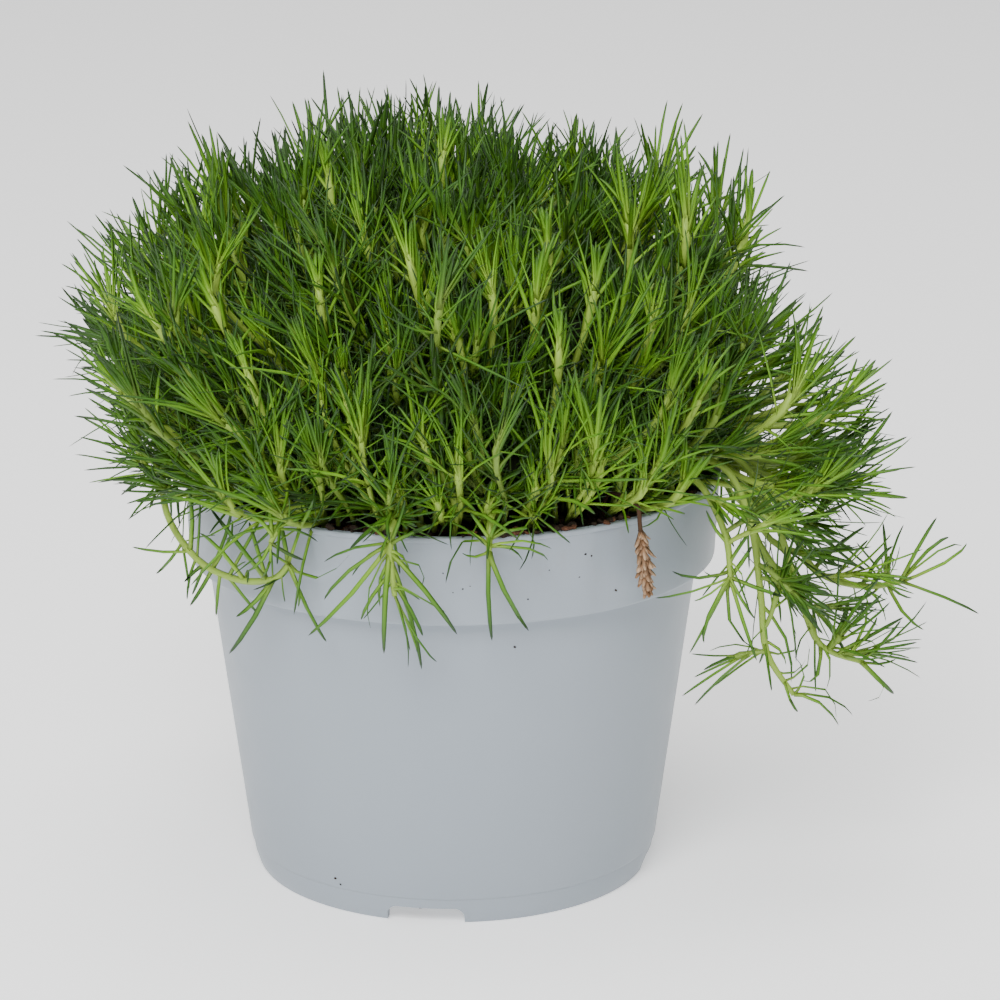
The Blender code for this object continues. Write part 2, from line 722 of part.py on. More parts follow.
def grow_shoot(index, shapes, space, rng, pieces):
    """One leafy shoot of the cushion: a stem with pairs of leaves, closer towards its end."""
    lowest = math.sin(math.radians(SHOOT_LOWEST))
    height = lowest + (1.0 - lowest) * (index + 0.5) / SHOOT_COUNT
    elevation = math.asin(height)
    azimuth = index * GOLDEN_ANGLE + math.radians(rng.uniform(-1, 1) * AZIMUTH_SCATTER)
    if elevation < math.radians(SHOOT_LOWEST + FRONT_LIFT * frontness(azimuth)):
        return
    out = aim(azimuth, elevation)
    tip_reach = reach(azimuth, elevation) + rng.uniform(-1.0, 0.6) * REACH_SCATTER
    node = RIM_MIDDLE + out * (tip_reach - TUFT_SHARE * LEAF_LENGTH)
    base_elevation = max(elevation * SHOOT_BASE_SHARE, math.radians(SHOOT_BASE_LOWEST))
    base = RIM_MIDDLE + aim(azimuth, base_elevation) * SHOOT_BASE_RADIUS
    if not space.is_free("cushion", base, node, STEM_RADIUS):
        return
    stem = shapes.place(shapes.stem, base, node, STEM_RADIUS, any_turn(rng), pieces)
    frame = stem.matrix_world.to_3x3().normalized()
    along = leaning(frame, 0.0, 0.0)
    place_leaf(node - along * LEAF_PAIRS[0][0] / 2, along, rng, shapes, space, pieces)
    for number, (below, tilt) in enumerate(LEAF_PAIRS):
        for half in range(2):
            # A leaf comes out of the middle of one of the stem's four sides
            roll = 45.0 + 90.0 * number + 180.0 * half + rng.uniform(-1, 1) * LEAF_ROLL_SCATTER
            lean = math.radians(tilt + rng.uniform(-1, 1) * LEAF_TILT_SCATTER)
            way = leaning(frame, lean, math.radians(roll))
            sink = leaning(frame, math.pi / 2, math.radians(roll)) * LEAF_SINK
            place_leaf(node - along * below + sink, way, rng, shapes, space, pieces)


def make_core(parts):
    """The dense middle of the cushion, which the shoots stand out of."""
    core = primitive(
        "cushion", lambda bm: bmesh.ops.create_icosphere(bm, subdivisions=3, radius=1.0), parts
    )
    for vertex in core.data.vertices:
        unit = vertex.co.copy()
        rise = CORE_TOP - CORE_CENTRE if unit.z > 0 else CORE_CENTRE - CORE_BOTTOM
        swell = 1.0 + CORE_SPIKE * noise.noise(unit / CORE_SPIKE_SIZE)
        flat = CORE_RADIUS * swell
        height = rise * (swell if unit.z > 0 else min(swell, 1.0))
        vertex.co = (unit.x * flat, unit.y * flat, CORE_CENTRE + unit.z * height)
    return core


def make_cushion(shapes, space, rng, parts, materials, holes):
    core = make_core(parts)
    pieces = new_collection("cushion shoots")
    crown = primitive(
        "crown",
        lambda bm: bmesh.ops.create_cone(
            bm, cap_ends=True, segments=CROWN_SIDES, radius1=CROWN_RADIUS, radius2=CROWN_RADIUS,
            depth=CORE_CENTRE - SOIL_MIDDLE_HEIGHT + CROWN_DEPTH,
        ),
        pieces,
    )
    crown.location = (0.0, 0.0, (CORE_CENTRE + SOIL_MIDDLE_HEIGHT - CROWN_DEPTH) / 2)
    for index in range(SHOOT_COUNT):
        grow_shoot(index, shapes, space, rng, pieces)
    fuse(core, pieces)
    core.data.materials.clear()
    core.data.materials.append(materials["plant"])
    foot = Vector((0.0, 0.0, SOIL_MIDDLE_HEIGHT))
    stem_hole("crown hole", foot, CROWN_RADIUS + GAP, CROWN_DEPTH + GAP, holes, CROWN_SIDES)


def centre_on_origin(parts):
    """Move every piece so that the origin is the middle of the footprint, to half a mm."""
    bpy.context.view_layer.update()
    corners = [
        obj.matrix_world @ vertex.co for obj in parts.objects for vertex in obj.data.vertices
    ]
    middle = []
    for axis in range(2):
        lowest = min(corner[axis] for corner in corners)
        highest = max(corner[axis] for corner in corners)
        middle.append(round((lowest + highest) / 2 / ORIGIN_STEP) * ORIGIN_STEP)
    for obj in parts.objects:
        obj.location = (-middle[0], -middle[1], 0.0)


def main():
    clear_scene()
    parts = new_collection("potted pearlwort")
    holes = new_collection("stem holes")
    materials = {name: material(name) for name in COLOURS}
    shapes = Shapes()
    space = Space()
    rng = random.Random(SEED)
    claim_stems(space)
    make_pot(parts, materials)
    for name, plan in TRAILERS.items():
        make_trailer(name, plan, shapes, space, rng, parts, materials, holes)
    make_dried_spray(shapes, space, rng, parts, materials, holes)
    make_cushion(shapes, space, rng, parts, materials, holes)
    make_soil(parts, materials, holes)
    centre_on_origin(parts)


main()
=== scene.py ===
"""Looks of the potted pearlwort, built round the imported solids.

Shapes are worked out in millimetres from the pot's axis and the plane it stands on, and
written to meshes in metres in the part's own frame.
"""

import json
import math

import bmesh
import bpy
import numpy as np
from mathutils import Matrix, Vector, noise

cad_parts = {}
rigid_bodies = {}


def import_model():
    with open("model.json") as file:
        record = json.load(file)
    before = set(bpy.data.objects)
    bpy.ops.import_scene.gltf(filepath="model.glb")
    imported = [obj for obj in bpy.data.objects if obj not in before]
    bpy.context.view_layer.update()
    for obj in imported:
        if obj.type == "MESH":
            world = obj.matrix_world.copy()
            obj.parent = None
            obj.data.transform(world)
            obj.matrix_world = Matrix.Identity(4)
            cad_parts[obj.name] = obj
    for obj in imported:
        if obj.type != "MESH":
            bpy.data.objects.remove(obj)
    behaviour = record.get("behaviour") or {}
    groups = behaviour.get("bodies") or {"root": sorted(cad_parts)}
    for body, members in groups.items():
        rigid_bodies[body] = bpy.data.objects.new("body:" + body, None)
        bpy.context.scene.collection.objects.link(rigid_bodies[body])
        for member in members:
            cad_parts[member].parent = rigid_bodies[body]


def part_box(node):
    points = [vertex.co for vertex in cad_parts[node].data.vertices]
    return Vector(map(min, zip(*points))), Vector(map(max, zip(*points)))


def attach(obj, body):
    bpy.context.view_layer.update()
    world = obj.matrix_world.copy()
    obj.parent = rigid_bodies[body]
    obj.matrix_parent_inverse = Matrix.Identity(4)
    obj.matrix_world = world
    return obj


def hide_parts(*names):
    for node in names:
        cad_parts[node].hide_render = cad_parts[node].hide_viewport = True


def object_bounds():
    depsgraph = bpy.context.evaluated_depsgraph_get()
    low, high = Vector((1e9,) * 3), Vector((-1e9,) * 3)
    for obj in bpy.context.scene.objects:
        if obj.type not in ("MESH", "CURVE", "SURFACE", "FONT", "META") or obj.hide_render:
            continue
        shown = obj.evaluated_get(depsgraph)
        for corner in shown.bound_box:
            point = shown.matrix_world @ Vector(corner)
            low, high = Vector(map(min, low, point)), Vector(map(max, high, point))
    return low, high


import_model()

CAD_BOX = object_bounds()
MM = 0.001
POT_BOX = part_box("pot")
AXIS = np.array([(POT_BOX[0].x + POT_BOX[1].x) / 2, (POT_BOX[0].y + POT_BOX[1].y) / 2, 0.0]) / MM
LOWEST = np.array(CAD_BOX[0]) / MM - AXIS
HIGHEST = np.array(CAD_BOX[1]) / MM - AXIS
BOX_MARGIN = 0.022 * (HIGHEST - LOWEST)
GOLDEN = math.radians(137.508)

# Pot
RIM = 60.0
POT_HEIGHT = 92.3
WALL = 1.0
LIP_HEIGHT = 1.1
LIP_PROUD = 0.4
LIP_WIDTH = 1.7
COLLAR_LOW = 58.65
COLLAR_Z = 72.7
BODY_TOP = 54.9
CREASE_Z = 6.0
CREASE_R = 46.1
FOOT = 44.4
FOOT_WIDTH = 2.6
FLOOR_UNDER = 4.2
FLOOR_TOP = 5.4
POT_SEGMENTS = 224
SLOT_WIDTH = 17.0
SLOT_HEIGHT = 3.7
SLOT_CORNER = 2.2
SLOT_AZIMUTH = -98.0
DRAIN_RING = 27.0
DRAIN_RADIUS = 4.5
RIM_MIDDLE = np.array([0.0, 0.0, POT_HEIGHT])

# Outline of the cushion: reach from the middle of the rim by angle above the right side
OUTLINE_ANGLES = np.radians([
    -14, 2, 10, 16, 24, 36, 42, 52, 60, 74, 84, 96, 101, 110, 122, 132, 142, 150, 156, 164, 172, 180, 188, 196])
OUTLINE_REACH = np.array([
    90, 95, 92, 84, 81, 83, 86, 80, 76, 74, 75, 81, 77, 85, 81, 86, 85, 94, 96, 88, 80, 73, 67, 65])
REACH_RIGHT, REACH_LEFT = 92.0, 103.0
REACH_TOP_RIGHT, REACH_TOP_LEFT = 76.0, 84.0
SQUARENESS = 2.2

# Close over the rim the cushion is narrower, except at the right
LOW_PULL = 0.26
LOW_FROM, LOW_TO = 2.0, 26.0

# Hollows between the tufts, as a share of the reach
HOLLOWS = 0.10

# The front stands steeply over the rim
FRONT_LOW_PULL, FRONT_HIGH_PULL = 0.30, 0.18
FRONT_FROM, FRONT_TO = 8.0, 50.0
FRONT_LIFT = 12.0
LOWEST_SHOOT = -3.0

# Camera, from the pot's axis and the standing plane
CAMERA_PLACE = np.array([0.0, -833.34, 323.7])
CAMERA_PITCH = math.radians(16.09)
CAMERA_YAW = math.radians(0.7293)
CAMERA_LENS = 139.7
SENSOR = 36.0
FRAME_PIXELS = 1000
CAMERA_AHEAD = np.array([
    math.sin(CAMERA_YAW) * math.cos(CAMERA_PITCH), math.cos(CAMERA_YAW) * math.cos(CAMERA_PITCH), -math.sin(CAMERA_PITCH)])
CAMERA_RIGHT = np.array([math.cos(CAMERA_YAW), -math.sin(CAMERA_YAW), 0.0])
CAMERA_UP = np.cross(CAMERA_RIGHT, CAMERA_AHEAD)
PIXELS_PER_SLOPE = FRAME_PIXELS * CAMERA_LENS / SENSOR


# Materials

def new_material(name, roughness, specular=0.5):
    made = bpy.data.materials.new(name)
    made.use_nodes = True
    tree = made.node_tree
    shader = tree.nodes["Principled BSDF"]
    shader.inputs["Roughness"].default_value = roughness
    shader.inputs["Specular IOR Level"].default_value = specular
    return made, tree, shader


def ramp(tree, factor, stops):
    node = tree.nodes.new("ShaderNodeValToRGB")
    tree.links.new(factor, node.inputs["Fac"])
    elements = node.color_ramp.elements
    while len(elements) < len(stops):
        elements.new(0.5)
    for element, (position, colour) in zip(elements, stops):
        element.position = position
        element.color = (*colour, 1.0)
    return node.outputs["Color"]


def mix(tree, factor, a, b, kind="MIX"):
    node = tree.nodes.new("ShaderNodeMix")
    node.data_type = "RGBA"
    node.blend_type = kind
    inputs = {"Factor": factor, "A": a, "B": b}
    for socket in node.inputs:
        if not socket.enabled or socket.name not in inputs:
            continue
        value = inputs[socket.name]
        if isinstance(value, bpy.types.NodeSocket):
            tree.links.new(value, socket)
        elif isinstance(value, tuple):
            socket.default_value = (*value, 1.0)
        else:
            socket.default_value = value
    return [s for s in node.outputs if s.enabled][0]


def math_node(tree, kind, a, b=None, c=None, clamp=False):
    node = tree.nodes.new("ShaderNodeMath")
    node.operation = kind
    node.use_clamp = clamp
    for socket, value in zip(node.inputs, (a, b, c)):
        if value is None:
            continue
        if isinstance(value, bpy.types.NodeSocket):
            tree.links.new(value, socket)
        else:
            socket.default_value = value
    return node.outputs[0]


def noise_node(tree, vector, scale, detail=2.0, roughness=0.5):
    node = tree.nodes.new("ShaderNodeTexNoise")
    node.inputs["Scale"].default_value = scale
    node.inputs["Detail"].default_value = detail
    node.inputs["Roughness"].default_value = roughness
    if vector is not None:
        tree.links.new(vector, node.inputs["Vector"])
    return node.outputs["Fac"]


def object_place(tree, scale=None):
    place = tree.nodes.new("ShaderNodeTexCoord").outputs["Object"]
    if scale is None:
        return place
    node = tree.nodes.new("ShaderNodeMapping")
    node.inputs["Scale"].default_value = scale
    tree.links.new(place, node.inputs["Vector"])
    return node.outputs["Vector"]


def bump(tree, shader, height, strength, distance):
    node = tree.nodes.new("ShaderNodeBump")
    node.inputs["Strength"].default_value = strength
    node.inputs["Distance"].default_value = distance
    tree.links.new(height, node.inputs["Height"])
    tree.links.new(node.outputs["Normal"], shader.inputs["Normal"])


def leaf_material():
    """Colour along a leaf from u, and from shoot to shoot by v, of the piece's own UV map."""
    made, tree, shader = new_material("leaves", 0.48, 0.24)
    uv = tree.nodes.new("ShaderNodeUVMap")
    uv.uv_map = "OFBake"
    split = tree.nodes.new("ShaderNodeSeparateXYZ")
    tree.links.new(uv.outputs["UV"], split.inputs["Vector"])
    u, v = split.outputs["X"], split.outputs["Y"]
    young = ramp(tree, u, [
        (0.0, (0.30, 0.42, 0.07)), (0.14, (0.27, 0.43, 0.05)), (0.36, (0.18, 0.37, 0.022)),
        (0.70, (0.11, 0.265, 0.014)), (0.90, (0.065, 0.155, 0.018)), (1.0, (0.04, 0.058, 0.03)),
    ])
    grown = ramp(tree, u, [
        (0.0, (0.20, 0.30, 0.05)), (0.12, (0.15, 0.26, 0.03)), (0.32, (0.076, 0.19, 0.013)),
        (0.70, (0.046, 0.13, 0.012)), (0.90, (0.03, 0.072, 0.018)), (1.0, (0.026, 0.038, 0.026)),
    ])
    # Darkest leaves: old shoots, and the painted shade given to the deep layers of shoots.
    old_and_shaded = ramp(tree, u, [
        (0.0, (0.10, 0.13, 0.035)), (0.15, (0.055, 0.09, 0.018)), (0.6, (0.026, 0.065, 0.010)),
        (1.0, (0.022, 0.03, 0.016)),
    ])
    to_grown = math_node(tree, "MULTIPLY_ADD", v, 3.3, -0.5, clamp=True)
    to_young = math_node(tree, "MULTIPLY_ADD", v, 2.6, -1.45, clamp=True)
    colour = mix(tree, to_young, mix(tree, to_grown, old_and_shaded, grown), young)
    tree.links.new(colour, shader.inputs["Base Color"])
    return made


def dried_material():
    made, tree, shader = new_material("dried", 0.85, 0.2)
    uv = tree.nodes.new("ShaderNodeUVMap")
    uv.uv_map = "OFBake"
    split = tree.nodes.new("ShaderNodeSeparateXYZ")
    tree.links.new(uv.outputs["UV"], split.inputs["Vector"])
    u, v = split.outputs["X"], split.outputs["Y"]
    brown = ramp(tree, u, [(0.0, (0.03, 0.014, 0.008)), (0.5, (0.13, 0.065, 0.028)), (1.0, (0.26, 0.14, 0.07))])
    pale = ramp(tree, u, [(0.0, (0.10, 0.055, 0.03)), (0.5, (0.34, 0.20, 0.11)), (1.0, (0.56, 0.41, 0.28))])
    tree.links.new(mix(tree, v, brown, pale), shader.inputs["Base Color"])
    return made


def pot_material():
    made, tree, shader = new_material("pot_plastic", 0.4, 0.32)
    place = object_place(tree)
    broad = noise_node(tree, place, 18.0, 3.0)
    streaks = noise_node(tree, object_place(tree, (90.0, 90.0, 7.0)), 1.0, 3.0)
    colour = ramp(tree, broad, [(0.25, (0.268, 0.306, 0.348)), (0.75, (0.288, 0.326, 0.366))])
    colour = mix(tree, math_node(tree, "MULTIPLY", streaks, 0.12), colour, (0.35, 0.385, 0.42))
    # Faint brown dust near the compost
    split = tree.nodes.new("ShaderNodeSeparateXYZ")
    tree.links.new(place, split.inputs["Vector"])
    high = math_node(tree, "MULTIPLY_ADD", split.outputs["Z"], 60.0, -4.5, clamp=True)
    dust = math_node(tree, "MULTIPLY_ADD", noise_node(tree, place, 260.0, 4.0, 0.65), 3.2, -1.75, clamp=True)
    dusty = math_node(tree, "MULTIPLY", math_node(tree, "MULTIPLY", high, dust), 0.28)
    colour = mix(tree, dusty, colour, (0.22, 0.19, 0.16))
    tree.links.new(colour, shader.inputs["Base Color"])
    rough = math_node(tree, "MULTIPLY_ADD", noise_node(tree, place, 140.0, 3.0), 0.16, 0.33)
    tree.links.new(rough, shader.inputs["Roughness"])
    bump(tree, shader, noise_node(tree, place, 900.0, 2.0), 0.12, 0.0002)
    return made


def compost_material(name, stops, scale, strength=0.5):
    made, tree, shader = new_material(name, 0.9, 0.25)
    place = object_place(tree)
    grain = noise_node(tree, place, scale, 5.0, 0.65)
    tree.links.new(ramp(tree, grain, stops), shader.inputs["Base Color"])
    bump(tree, shader, grain, strength, 0.0008)
    return made


def plain_material(name, colour, roughness):
    made, tree, shader = new_material(name, roughness, 0.3)
    shader.inputs["Base Color"].default_value = (*colour, 1.0)
    return made


# Meshes

def add_piece(name, mesh, materials, replaced=()):
    for made in materials:
        mesh.materials.append(made)
    piece = bpy.data.objects.new(name, mesh)
    bpy.context.scene.collection.objects.link(piece)
    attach(piece, "root")
    if replaced:
        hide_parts(*replaced)
    return piece


def to_mesh(name, points, triangles, uvs=None):
    """A mesh from arrays, with points in millimetres from the pot's axis."""
    mesh = bpy.data.meshes.new(name)
    mesh.vertices.add(len(points))
    mesh.vertices.foreach_set("co", ((points + AXIS) * MM).astype(np.float32).ravel())
    mesh.loops.add(3 * len(triangles))
    mesh.loops.foreach_set("vertex_index", triangles.astype(np.int32).ravel())
    mesh.polygons.add(len(triangles))
    mesh.polygons.foreach_set("loop_start", np.arange(0, 3 * len(triangles), 3, dtype=np.int32))
    if uvs is not None:
        layer = mesh.uv_layers.new(name="OFBake")
        layer.uv.foreach_set("vector", uvs.astype(np.float32).ravel())
    mesh.update(calc_edges=True)
    mesh.shade_smooth()
    return mesh


def unit(vectors):
    return vectors / np.maximum(np.linalg.norm(vectors, axis=-1, keepdims=True), 1e-9)


LEAF_STATIONS = np.array([0.0, 0.14, 0.48, 0.80, 0.95])
LEAF_WIDTHS = np.array([1.3, 1.0, 1.0, 0.86, 0.52])
STRIP = 0.004


class Foliage:
    """Leaves and stems gathered for one piece."""

    def __init__(self):
        self.leaves = []
        self.stems = []

    def add_leaves(self, base, way, side, bend, length, radius, tone):
        self.leaves.append(np.column_stack([base, way, side, bend, length, radius, tone]))

    def add_stem(self, points, radii, tone):
        self.stems.append((points, radii, tone))

    def kept(self):
        """Every leaf that stays out of the pot and inside the part's box."""
        rows = np.concatenate(self.leaves)
        keep = np.ones(len(rows), bool)
        for share in (0.25, 0.5, 0.75, 0.9, 1.0):
            spot = rows[:, 0:3] + rows[:, 12:13] * (rows[:, 3:6] * share + rows[:, 9:12] * share**2)
            across = np.hypot(spot[:, 0], spot[:, 1])
            in_wall = (across < RIM + 0.7) & (across > RIM - 2.6) & (spot[:, 2] < POT_HEIGHT + 0.6)
            in_soil = (across <= RIM - 2.6) & (spot[:, 2] < 91.6)
            under = spot[:, 2] < 1.0
            outside = ((spot < LOWEST - BOX_MARGIN) | (spot > HIGHEST + BOX_MARGIN)).any(1)
            keep &= ~(in_wall | in_soil | under | outside)
        return rows[keep]

    def leaf_arrays(self):
        rows = self.kept()
        base, way, side, bend = rows[:, 0:3], rows[:, 3:6], rows[:, 6:9], rows[:, 9:12]
        length, radius, tone = rows[:, 12], rows[:, 13], rows[:, 14]
        stations = LEAF_STATIONS
        count, rings = len(rows), len(stations)
        keel = unit(np.cross(side, way))
        along = stations[None, :, None]
        reach = length[:, None, None]
        centre = base[:, None] + reach * (way[:, None] * along + bend[:, None] * along**2)
        half = radius[:, None, None] * LEAF_WIDTHS[None, :, None]
        corners = np.stack([
            centre + side[:, None] * half + keel[:, None] * half * 0.2,
            centre - side[:, None] * half + keel[:, None] * half * 0.2,
            centre - keel[:, None] * half * 0.75,
        ], axis=2)
        tip = base + length[:, None] * (way + bend)
        points = np.concatenate([corners.reshape(count, rings * 3, 3), tip[:, None]], axis=1)
        faces, us, vs = [], [], []
        for ring in range(rings - 1):
            for k in range(3):
                a, b = 3 * ring + k, 3 * ring + (k + 1) % 3
                c, d = a + 3, b + 3
                lo, hi = stations[ring], stations[ring + 1]
                faces += [(a, b, d), (a, d, c)]
                us += [(lo, lo, hi), (lo, hi, hi)]
                vs += [(k - 1, k, k), (k - 1, k, k - 1)]
        last = 3 * (rings - 1)
        for k in range(3):
            faces.append((last + k, last + (k + 1) % 3, 3 * rings))
            us.append((stations[-1], stations[-1], 1.0))
            vs.append((k - 1, k, k - 0.5))
        faces.append((0, 2, 1))
        us.append((0.0, 0.02, 0.0))
        vs.append((0, 0.5, 1))
        faces, us, vs = np.array(faces), np.array(us, float), np.array(vs, float)
        triangles = faces[None] + (np.arange(count) * (3 * rings + 1))[:, None, None]
        uvs = np.empty((count, len(faces), 3, 2))
        uvs[..., 0] = 0.01 + 0.98 * us[None]
        uvs[..., 1] = tone[:, None, None] + STRIP * vs[None]
        return points.reshape(-1, 3), triangles.reshape(-1, 3), uvs.reshape(-1, 2)

    def stem_arrays(self, sides=5):
        all_points, all_triangles, all_uvs, start = [], [], [], 0
        for path, radii, tone in self.stems:
            tangent = unit(np.gradient(path, axis=0))
            rough = np.array([0.31, 0.87, 0.39])
            first = unit(np.cross(tangent, rough))
            second = np.cross(tangent, first)
            angles = np.arange(sides) * math.tau / sides
            ring = (
                first[:, None] * np.cos(angles)[None, :, None]
                + second[:, None] * np.sin(angles)[None, :, None]
            )
            points = (path[:, None] + ring * radii[:, None, None]).reshape(-1, 3)
            faces, uvs = [], []
            spans = len(path) - 1
            for i in range(spans):
                lo = 0.02 + 0.05 * i / spans
                hi = 0.02 + 0.05 * (i + 1) / spans
                for k in range(sides):
                    a, b = i * sides + k, i * sides + (k + 1) % sides
                    c, d = a + sides, b + sides
                    faces += [(a, b, d), (a, d, c)]
                    p, q = tone - STRIP, tone + STRIP
                    uvs += [(lo, p), (lo, q), (hi, q), (lo, p), (hi, q), (hi, p)]
            for k in range(1, sides - 1):
                faces.append((0, k + 1, k))
                faces.append((spans * sides, spans * sides + k, spans * sides + k + 1))
                uvs += [(0.02, tone), (0.03, tone), (0.02, tone + STRIP)] * 2
            all_points.append(points)
            all_triangles.append(np.array(faces) + start)
            all_uvs.append(np.array(uvs))
            start += len(points)
        return np.concatenate(all_points), np.concatenate(all_triangles), np.concatenate(all_uvs)

    def build(self, name, made, slot, replaced):
        points, triangles, uvs = self.leaf_arrays()
        if self.stems:
            more, faces, extra = self.stem_arrays()
            triangles = np.concatenate([triangles, faces + len(points)])
            points = np.concatenate([points, more])
            uvs = np.concatenate([uvs, extra])
        uvs = np.clip(uvs, 0.0, 1.0)
        print(f"PIECE {name}: {len(triangles)} triangles")
        return add_piece(name, to_mesh(name, points, triangles, uvs), [made], replaced)


# Growth

# Leaf pairs of a shoot from its end down: distance back, tilt from the stem, share of length
NODE_BACK = np.array([0.0, 0.6, 1.5, 2.8, 4.8, 8.2, 12.5, 18.0])
NODE_TILT = np.radians([4.0, 8.0, 13.0, 18.5, 25.0, 34.0, 44.0, 52.0])
NODE_LENGTH = np.array([0.66, 0.86, 1.0, 1.08, 1.06, 0.98, 0.9, 0.8])

# How far a pair's leaves arch outwards, and how much that differs from leaf to leaf
NODE_ARCH = np.array([0.0, 0.02, 0.05, 0.08, 0.11, 0.13, 0.14, 0.14])
NODE_ARCH_SPREAD = np.array([0.06, 0.09, 0.12, 0.15, 0.18, 0.21, 0.23, 0.23])
SIDEWAYS_SPREAD = 0.17


def stem_curve(base, tip, leave, arrive, steps):
    """Points and directions along a smooth stem from base to tip."""
    reach = np.linalg.norm(tip - base)
    s = steps[:, None]
    a, b = leave * reach, arrive * reach
    points = (
        (2 * s**3 - 3 * s**2 + 1) * base + (s**3 - 2 * s**2 + s) * a
        + (-2 * s**3 + 3 * s**2) * tip + (s**3 - s**2) * b
    )
    ways = (
        (6 * s**2 - 6 * s) * base + (3 * s**2 - 4 * s + 1) * a
        + (-6 * s**2 + 6 * s) * tip + (3 * s**2 - 2 * s) * b
    )
    return points, unit(ways)


def grow(foliage, rng, base, tip, way, tone, length=17.0, radius=0.35, pairs=8, extras=2,
         stem_radius=0.7, spread=1.0, lift=0.04):
    """One shoot: a curved stem with opposite leaves that crowd into a fan at its end."""
    reach = np.linalg.norm(tip - base)
    if reach < 1.0:
        return
    leave = unit(unit(tip - base) + 0.35 * unit(rng.normal(size=3)))
    back = NODE_BACK[:pairs] * rng.uniform(0.85, 1.2)
    back = back[back < 0.92 * reach]
    pairs = len(back)
    steps = 1.0 - back / reach
    spots, ways = stem_curve(base, tip, leave, way, steps)
    which = np.repeat(np.arange(pairs), 2)
    roll = rng.uniform(0, math.tau) + which * math.pi / 2 + np.tile([0.0, math.pi], pairs)
    if extras:
        which = np.concatenate([which, rng.integers(1, max(pairs - 1, 2), extras) % pairs])
        roll = np.concatenate([roll, rng.uniform(0, math.tau, extras)])
    count = len(which)
    roll = roll + rng.normal(0, 0.3, count)
    tilt = NODE_TILT[which] * spread * rng.uniform(0.55, 1.4, count)
    size = length * NODE_LENGTH[which] * rng.uniform(0.72, 1.16, count)
    if extras:
        size[-extras:] *= rng.uniform(0.5, 0.85, extras)
        tilt[-extras:] *= rng.uniform(0.6, 1.0, extras)
    along = ways[which]
    rough = unit(rng.normal(size=3))
    first = unit(np.cross(along, rough))
    second = np.cross(along, first)
    radial = first * np.cos(roll)[:, None] + second * np.sin(roll)[:, None]
    heading = unit(along * np.cos(tilt)[:, None] + radial * np.sin(tilt)[:, None])
    side = unit(np.cross(along, heading))
    arch = rng.normal(NODE_ARCH[which], NODE_ARCH_SPREAD[which]) * spread
    bend = radial * arch[:, None] + np.array([0.0, 0.0, 1.0]) * (lift + rng.normal(0, 0.07, (count, 1)))
    bend = bend + side * rng.normal(0, SIDEWAYS_SPREAD, (count, 1))
    start = spots[which] + radial * stem_radius * 0.35
    tones = np.clip(tone + rng.normal(0, 0.06, count), 0.02, 0.98)
    width = radius * rng.uniform(0.8, 1.25)
    foliage.add_leaves(start, heading, side, bend, size, width * rng.uniform(0.7, 1.2, count), tones)
    steps = np.linspace(0.0, 1.0, 7)
    path, _ = stem_curve(base, tip, leave, way, steps)
    radii = stem_radius * np.interp(steps, [0.0, 0.6, 0.85, 1.0], [0.75, 0.9, 1.3, 0.8])
    foliage.add_stem(path, radii, float(np.clip(tone + 0.05, 0.02, 0.98)))


def aim(azimuth, elevation):
    flat = math.cos(elevation)
    return np.array([flat * math.cos(azimuth), flat * math.sin(azimuth), math.sin(elevation)])


def frontness(out):
    flat = math.hypot(out[0], out[1])
    return max(-out[1] / max(flat, 1e-6), 0.0) ** 2


def smooth_rise(elevation, low, high):
    share = min(max((math.degrees(elevation) - low) / (high - low), 0.0), 1.0)
    return share * share * (3.0 - 2.0 * share)


def pull(out):
    """The share of its reach that the cushion loses in one direction."""
    flat = math.hypot(out[0], out[1])
    elevation = math.atan2(out[2], flat)
    rightness = max(out[0] / max(flat, 1e-6), 0.0) ** 2
    low = LOW_PULL * (1.0 - rightness) * (1.0 - smooth_rise(elevation, LOW_FROM, LOW_TO))
    high = smooth_rise(elevation, FRONT_FROM, FRONT_TO)
    front = FRONT_LOW_PULL + (FRONT_HIGH_PULL - FRONT_LOW_PULL) * high
    return max(low, front * frontness(out) * flat)


def dome(out):
    """The cushion's smooth form, as in the solids."""
    leftness = (1.0 - out[0]) / 2
    side = REACH_RIGHT + (REACH_LEFT - REACH_RIGHT) * leftness
    top = REACH_TOP_RIGHT + (REACH_TOP_LEFT - REACH_TOP_RIGHT) * leftness
    flat = math.hypot(out[0], out[1])
    whole = (abs(flat / side) ** SQUARENESS + abs(out[2] / top) ** SQUARENESS) ** (-1 / SQUARENESS)
    return whole * (1.0 - pull(out))


def reach_of(out):
    """How far the leaf tips reach from the middle of the rim, in one direction."""
    angle = math.atan2(out[2], out[0])
    if angle < math.radians(-90):
        angle += math.tau
    seen = dome((math.cos(angle), 0.0, math.sin(angle)))
    wanted = float(np.interp(angle, OUTLINE_ANGLES, OUTLINE_REACH))
    share = max(1.0 - out[1] ** 2 * 1.15, 0.0)
    lumps = 1.0 + 0.035 * noise.noise(Vector(out) * 3.1) + HOLLOWS * (noise.noise(Vector(out) * 7.0) - 0.12)
    return dome(out) * (1.0 + share * (wanted / seen - 1.0)) * lumps


def sector(out):
    """The piece that a direction belongs to."""
    azimuth = math.degrees(math.atan2(out[1], out[0])) % 360
    return ("right", "back", "left", "front")[int(((azimuth + 45) % 360) // 90)]


def open_side(out, elevation):
    """The share of shoots missing from the loose, low growth on the right."""
    flat = math.hypot(out[0], out[1])
    rightness = max(out[0] / max(flat, 1e-6), 0.0) ** 2
    return rightness * (1.0 - smooth_rise(elevation, 6.0, 30.0))


